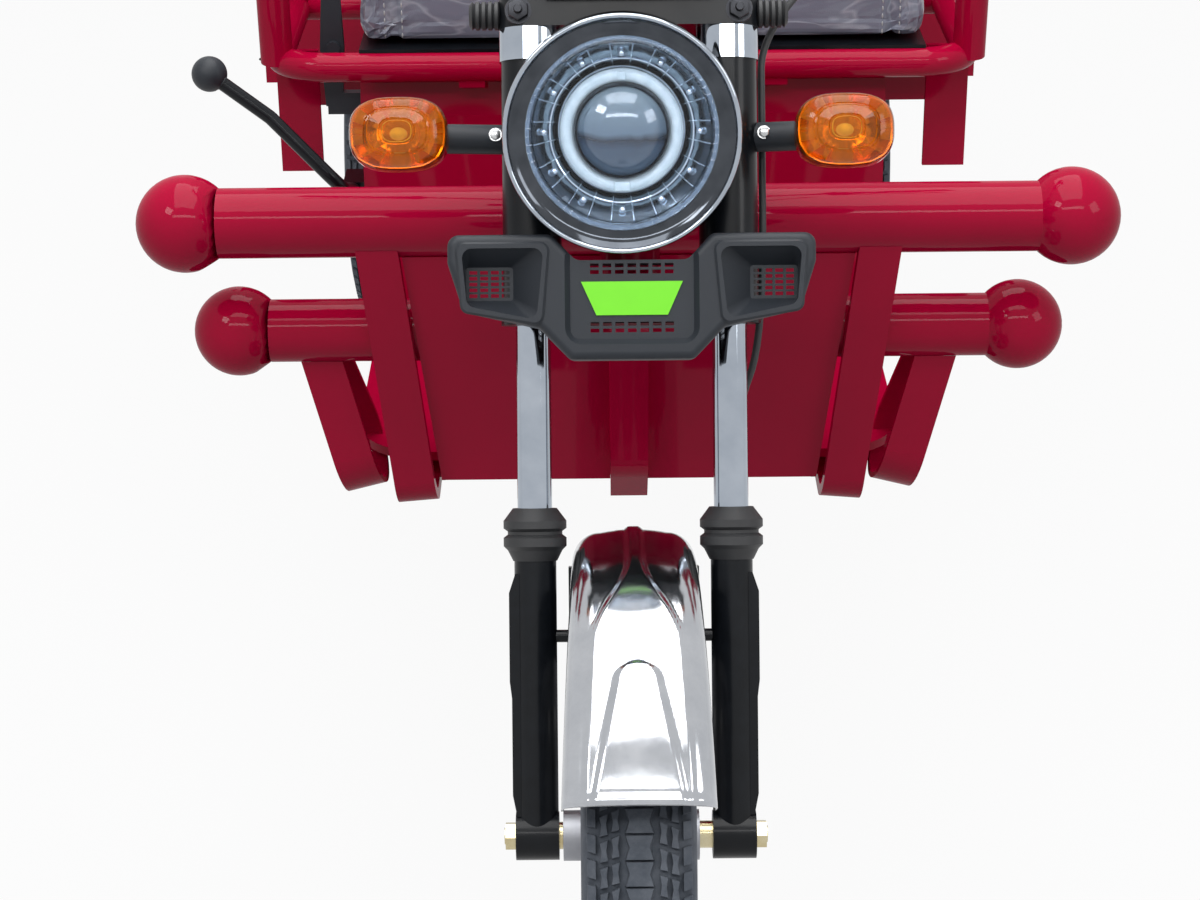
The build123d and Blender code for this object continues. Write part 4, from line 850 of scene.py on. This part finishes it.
class TRICYCLE_OT_cable(bpy.types.Operator):
    """Brake cable from the lever down the fork."""

    bl_idname = "tricycle.cable"
    bl_label = "Brake cable"

    def execute(self, context):
        curve = bpy.data.curves.new("brake_cable_run", "CURVE")
        curve.dimensions = "3D"
        line = curve.splines.new("NURBS")
        line.points.add(len(CABLE_POINTS) - 1)
        for point, place in zip(line.points, CABLE_POINTS):
            point.co = (*(FORK @ (Vector(place) * MM)), 1)
        line.order_u = 3
        line.use_endpoint_u = True
        line.resolution_u = 8
        curve.bevel_depth = CABLE_R * MM
        curve.bevel_resolution = 4
        curve.use_fill_caps = True
        curve.materials.append(coat(moulded_rubber))
        cable = bpy.data.objects.new("brake_cable_run", curve)
        context.collection.objects.link(cable)
        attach(cable, "steering")
        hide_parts("brake_cable")
        return {"FINISHED"}


def settle(thing):
    """Replaces an object's mesh by what its modifiers give."""
    graph = bpy.context.evaluated_depsgraph_get()
    mesh = bpy.data.meshes.new_from_object(thing.evaluated_get(graph))
    thing.modifiers.clear()
    thing.data = mesh


# Padding: mesh size and pinned depth in millimetres, pressure, and frames of the cloth run
PAD_MESH, PAD_PIN, PAD_PRESSURE, PAD_FRAMES = 7, 4, 4, 20


def stuffed(name, node, inset, soft, cap, down, body):
    """Pad blown up inside its cover by a short cloth run, capped, and pinned where it rests."""
    low, high = (Vector(corner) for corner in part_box(node))
    size = high - low - 2 * Vector(inset) * MM
    shape = bmesh.new()
    place = Matrix.Translation((low + high) / 2) @ Matrix.Diagonal((*size, 1))
    bmesh.ops.create_cube(shape, size=1, matrix=place)
    bmesh.ops.bevel(shape, geom=shape.edges[:], offset=soft * MM, segments=4, profile=0.5, affect="EDGES",
                    material=-1)
    thing = piece(name, shape, wrapped_leather, body, 180)
    even = thing.modifiers.new("even_mesh", "REMESH")
    even.mode = "VOXEL"
    even.voxel_size = PAD_MESH * MM
    settle(thing)
    before = [vert.co.copy() for vert in thing.data.vertices]
    down = Vector(down)
    deepest = max(co.dot(down) for co in before)
    base = thing.vertex_groups.new(name="base")
    pinned = [k for k, co in enumerate(before) if co.dot(down) > deepest - PAD_PIN * MM]
    base.add(pinned, 1, "REPLACE")
    stuffing = thing.modifiers.new("stuffing", "CLOTH")
    stuffing.settings.use_pressure = True
    stuffing.settings.uniform_pressure_force = PAD_PRESSURE
    stuffing.settings.vertex_group_mass = "base"
    stuffing.settings.effector_weights.gravity = 0
    for frame_number in range(1, PAD_FRAMES + 1):
        bpy.context.scene.frame_set(frame_number)
    settle(thing)
    bpy.context.scene.frame_set(1)
    for vert, was in zip(thing.data.vertices, before):
        move = vert.co - was
        if move.length > cap * MM:
            vert.co = was + move.normalized() * cap * MM
    return thing


def sew(thing, distance, wide, deep):
    """Pulls a groove into a pad where a distance, in metres, is near zero."""
    for vert in thing.data.vertices:
        near = abs(distance(vert.co)) / (wide * MM)
        if near < 1:
            vert.co -= vert.normal * deep * MM * (1 - near * near) ** 2
    thing.data.update()


def stitches(thing, starts, towards, body, name):
    """Thread stitches where rays from some points meet a pad."""
    thread = bmesh.new()
    bmesh.ops.create_icosphere(thread, subdivisions=2, radius=1)
    places = []
    for origin, along in starts:
        hit, point, normal, _ = thing.ray_cast(origin, Vector(towards))
        if hit:
            side = normal.cross(along).normalized()
            frame_axes = Matrix((along, side, normal)).transposed().to_4x4()
            places.append(Matrix.Translation(point) @ frame_axes @ Matrix.Diagonal((3.2 * MM, MM, MM, 1)))
    return piece(name, scatter(thread, places), stitch_thread, body, 180)


# Stitch pitch and the seams' distance from the cushion's ends, in metres
STITCH, SEAM_INSET = 0.009, 0.052


class TRICYCLE_OT_seat(bpy.types.Operator):
    """Stuffed cushion and back pad with sewn seams."""

    bl_idname = "tricycle.seat"
    bl_label = "Seat"

    def execute(self, context):
        cushion = stuffed("stuffed_cushion", "seat_cushion", (8, 6, 5), 22, 9, (0, 0, -1), "seat")
        low, high = (Vector(corner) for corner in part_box("seat_cushion"))
        seams = (low.x + SEAM_INSET, high.x - SEAM_INSET)
        for x in seams:
            sew(cushion, lambda co, x=x: co.x - x, 9, 5)
        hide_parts("seat_cushion")
        rows = [x + off for x in seams for off in (-0.010, 0.010)]
        along = Vector((0, 1, 0))
        starts = [(Vector((x, low.y + 0.02 + STITCH * k, high.z + 0.1)), along)
                  for x in rows for k in range(30)]
        stitches(cushion, starts, (0, 0, -1), "seat", "cushion_stitches_top")
        along = Vector((0, 0, 1))
        starts = [(Vector((x, low.y - 0.1, low.z + 0.012 + STITCH * k)), along)
                  for x in rows for k in range(7)]
        stitches(cushion, starts, (0, 1, 0), "seat", "cushion_stitches_front")

        back = stuffed("stuffed_back", "backrest_pad", (6, 4, 6), 15, 8, (0, 1, 0), "chassis")
        low, high = (Vector(corner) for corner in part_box("backrest_pad"))
        for share in (0.33, 0.67):
            level = low.z + share * (high.z - low.z)
            sew(back, lambda co, level=level: co.z - level, 9, 4)
        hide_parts("backrest_pad")
        return {"FINISHED"}


class TRICYCLE_OT_controls(bpy.types.Operator):
    """Mirror glass, instrument glass, grip ribs and pedal rubber."""

    bl_idname = "tricycle.controls"
    bl_label = "Controls"

    def execute(self, context):
        plate = rounded_box((102, 64, 3), 1.2, WORLD)
        places = [facing(FORK, handed(MIRROR, side), (0, 1, 0)) for side in (-1, 1)]
        piece("mirror_glasses", scatter(plate, places), mirror_glass, "steering")

        window = facing(FORK, INSTRUMENT_TOP, (0, 0, 1))
        display = rounded_box((128, 42, 3), 1.2, window)
        piece("instrument_glass", display, smoked_acrylic, "steering")
        keys = [rounded_box((14, 5, 3), 1.2, window @ at(x, 0, 2)) for x in (-45, -27, 27, 45)]
        piece("instrument_lights", join(*keys), lit_diffuser, "steering")

        ribs = []
        for side in (-1, 1):
            end, run = handed(GRIP_END, side), handed(GRIP_RUN, side)
            ribs += [facing(FORK, end + run * (10 + 8 * k), run) for k in range(13)]
        ring = lathe(round_section(15.6, 0, 1.6, 8), WORLD, steps=32)
        piece("grip_ribs", scatter(ring, ribs), moulded_rubber, "steering", 60)

        pad = VEHICLE @ at(*PEDAL) @ Matrix.Rotation(PEDAL_TILT, 4, "X")
        tread = [rounded_box((60, 4, 52), 1.5, pad @ at(0, 8.1, 0))]
        tread += [rounded_box((54, 3, 5), 1.2, pad @ at(0, 11, z)) for z in (-20, -10, 0, 10, 20)]
        piece("pedal_rubber", join(*tread), moulded_rubber, "chassis")
        return {"FINISHED"}


class TRICYCLE_OT_bed(bpy.types.Operator):
    """Rope hooks, gate latches and lamp frames."""

    bl_idname = "tricycle.bed"
    bl_label = "Bed trim"

    def execute(self, context):
        low, high = (Vector(corner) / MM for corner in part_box("bed_sides"))
        length = high.y - low.y
        hooks = []
        for side in (-1, 1):
            for k in range(5):
                y = low.y + 18 + (length - 36) * k / 4
                hooks.append(facing(WORLD, (side * high.x, y, low.z + 20), (side, 0, 0)))
        bar = bmesh.new()
        end = at(10, 0, 0) @ Matrix.Rotation(pi / 2, 4, "X")
        bmesh.ops.create_circle(bar, segments=10, radius=4 * MM, matrix=end)
        bmesh.ops.spin(bar, geom=bar.verts[:] + bar.edges[:], cent=(0, 0, 0), axis=(0, 1, 0), angle=-pi,
                       steps=14)
        bmesh.ops.holes_fill(bar, edges=[e for e in bar.edges if e.is_boundary], sides=0)
        bmesh.ops.recalc_face_normals(bar, faces=bar.faces)
        piece("rope_hooks", scatter(bar, hooks), red_enamel, "chassis", 60)

        frames = []
        lamp_low, lamp_high = (Vector(corner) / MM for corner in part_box("tail_lamps"))
        for side in (-1, 1):
            lamp = at(side * TAIL_LAMP_X, lamp_high.y - 4, (lamp_low.z + lamp_high.z) / 2)
            for end in (-0.5, 0.5):
                upright = lamp @ at(end * TAIL_LAMP_W, 0, 0)
                crosswise = lamp @ at(0, 0, end * TAIL_LAMP_H)
                frames.append(rounded_box((5, 8, TAIL_LAMP_H + 4), 1.5, upright))
                frames.append(rounded_box((TAIL_LAMP_W + 5, 8, 5), 1.5, crosswise))
        piece("tail_lamp_frames", join(*frames), moulded_rubber, "chassis")

        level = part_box("tailgate")[1][2] / MM - 60
        latches = []
        for side in (-1, 1):
            latches.append(rounded_box((5, 60, 26), 2, at(side * (high.x + 2.6), high.y - 44, level)))
            latches.append(rounded_box((9, 14, 34), 3, at(side * (high.x + 5), high.y - 26, level)))
        piece("gate_latches", join(*latches), bright_steel, "chassis")
        return {"FINISHED"}


class TRICYCLE_OT_wheels(bpy.types.Operator):
    """Wheel nuts and valve stems."""

    bl_idname = "tricycle.wheels"
    bl_label = "Wheel trim"

    def execute(self, context):
        outline = [(0, 0), (5, 0), (5, 8), (3.6, 10), (3.6, 26), (4.2, 27), (4.2, 34), (0, 35)]
        for wheel, side in (("front", 1), ("rear_right", -1), ("rear_left", 1)):
            axle = Matrix.Translation(middle(f"{wheel}_tyre"))
            stem = lathe(outline, facing(axle, (side * VALVE_X, 0, VALVE_R), (side * 2, 0, -1)), 20, False)
            piece(f"{wheel}_valve", stem, moulded_rubber, f"{wheel}_wheel")
            if wheel != "front":
                nut = facing(WORLD, (side * NUT_FACE_X, 0, NUT_CIRCLE_R), (side, 0, 0))
                nuts = [axle @ Matrix.Rotation(2 * pi * k / 5, 4, "X") @ nut for k in range(5)]
                piece(f"{wheel}_wheel_nuts", bolts(nuts, 17, 12), bright_steel, f"{wheel}_wheel")
        return {"FINISHED"}


def area_light(name, place, aim, size, power):
    """Soft box that faces a point."""
    lamp = bpy.data.lights.new(name, "AREA")
    lamp.shape = "RECTANGLE"
    lamp.size, lamp.size_y = size
    lamp.energy = power
    box = bpy.data.objects.new(name, lamp)
    box.location = place
    box.rotation_euler = (Vector(aim) - Vector(place)).to_track_quat("-Z", "Y").to_euler()
    bpy.context.collection.objects.link(box)
    return box


def in_sight(tree):
    """1 for rays from the camera, a mirror or glass, and 0 for the rays that only bring light."""
    ray = add(tree, "ShaderNodeLightPath").outputs
    seen = add(tree, "ShaderNodeMath", {0: ray["Is Camera Ray"], 1: ray["Is Glossy Ray"]},
               operation="MAXIMUM")
    clear = add(tree, "ShaderNodeMath", {0: seen.outputs[0], 1: ray["Is Transmission Ray"]},
                operation="MAXIMUM")
    return clear.outputs[0]


class TRICYCLE_OT_stage(bpy.types.Operator):
    """Floor, surroundings, soft boxes and the camera."""

    bl_idname = "tricycle.stage"
    bl_label = "Stage"

    def execute(self, context):
        scene = context.scene
        scene.view_settings.view_transform = "Standard"
        sizes = sizes_of()

        floor_mesh = bpy.data.meshes.new("studio_floor")
        shape = bmesh.new()
        bmesh.ops.create_grid(shape, x_segments=1, y_segments=1, size=30)
        shape.to_mesh(floor_mesh)
        shape.free()
        floor = bpy.data.objects.new("studio_floor", floor_mesh)
        scene.collection.objects.link(floor)
        floor_mesh.materials.append(pale_floor())

        world = bpy.data.worlds.new("studio_world")
        scene.world = world
        world.use_nodes = True
        tree = world.node_tree
        tree.nodes.clear()
        glow = add(tree, "ShaderNodeBackground", {"Color": (*linear("F2F5FA"), 1), "Strength": 0.3})
        white = add(tree, "ShaderNodeBackground", {"Color": (1, 1, 1, 1), "Strength": 1.0})
        mix = add(tree, "ShaderNodeMixShader", {0: in_sight(tree), 1: glow.outputs[0], 2: white.outputs[0]})
        add(tree, "ShaderNodeOutputWorld", {"Surface": mix.outputs[0]})

        aim = FRONT_AXLE + Vector((0, 0.3, 0.35))
        area_light("key_box", (-2.4, -3.0, 3.6), aim, (1.2, 0.9), 40)
        area_light("fill_box", (2.8, -2.6, 2.4), aim, (1.2, 1.2), 22)
        area_light("strip_box", (0, -3.6, 2.9), aim, (3.4, 0.35), 30)
        area_light("top_box", (0, -0.4, 4.2), (0, -0.3, 0), (3.0, 5.0), 200)

        camera = bpy.data.cameras.new("photo_camera")
        camera.sensor_width = 36
        camera.lens = sizes.lens
        view = bpy.data.objects.new("photo_camera", camera)
        view.location = (sizes.camera_x, FRONT_AXLE.y - sizes.camera_ahead, sizes.camera_height)
        view.rotation_euler = (pi / 2 - RAKE, sizes.camera_lean, sizes.camera_yaw)
        scene.collection.objects.link(view)
        scene.camera = view
        return {"FINISHED"}


def pale_floor():
    """Seamless matt grey paper that shows almost white to the camera, in mirrors and through glass."""
    material, tree, shader, place = start("pale_floor")
    output = next(n for n in tree.nodes if n.type == "OUTPUT_MATERIAL")
    feed(shader, {"Base Color": (*linear("A8A8AA"), 1), "Roughness": 0.9})
    amount = add(tree, "ShaderNodeMath", {0: in_sight(tree), 1: 0.94}, operation="MULTIPLY")
    white = add(tree, "ShaderNodeEmission", {"Color": (1, 1, 1, 1), "Strength": 1.0})
    mix = add(tree, "ShaderNodeMixShader", {0: amount.outputs[0], 1: shader.outputs[0], 2: white.outputs[0]})
    feed(output, {"Surface": mix.outputs[0]})
    return material


class TRICYCLE_PT_panel(bpy.types.Panel):
    """Sidebar panel that lists the sizes, colours and steps."""

    bl_idname = "TRICYCLE_PT_panel"
    bl_label = "Cargo Tricycle"
    bl_space_type = "VIEW_3D"
    bl_region_type = "UI"
    bl_category = "Tricycle"

    def draw(self, context):
        for group in (context.scene.tricycle_finish, context.scene.tricycle_sizes):
            for name in group.__annotations__:
                self.layout.prop(group, name)
        for step in STEPS:
            self.layout.operator(step.bl_idname)


STEPS = (TRICYCLE_OT_finishes, TRICYCLE_OT_cable, TRICYCLE_OT_tyres, TRICYCLE_OT_mudguard,
         TRICYCLE_OT_headlamp, TRICYCLE_OT_signals, TRICYCLE_OT_fork, TRICYCLE_OT_seat, TRICYCLE_OT_controls,
         TRICYCLE_OT_bed, TRICYCLE_OT_wheels, TRICYCLE_OT_stage)
CLASSES = (TricycleFinish, TricycleSizes, *STEPS, TRICYCLE_PT_panel)


def register():
    """Adds the classes and the scene's settings."""
    for item in CLASSES:
        bpy.utils.register_class(item)
    bpy.types.Scene.tricycle_finish = bpy.props.PointerProperty(type=TricycleFinish)
    bpy.types.Scene.tricycle_sizes = bpy.props.PointerProperty(type=TricycleSizes)


def unregister():
    """Removes the classes and the scene's settings."""
    del bpy.types.Scene.tricycle_sizes
    del bpy.types.Scene.tricycle_finish
    for item in reversed(CLASSES):
        bpy.utils.unregister_class(item)


def main():
    """Runs every step in order."""
    register()
    for step in STEPS:
        group, name = step.bl_idname.split(".")
        getattr(getattr(bpy.ops, group), name)()


if __name__ == "__main__":
    main()
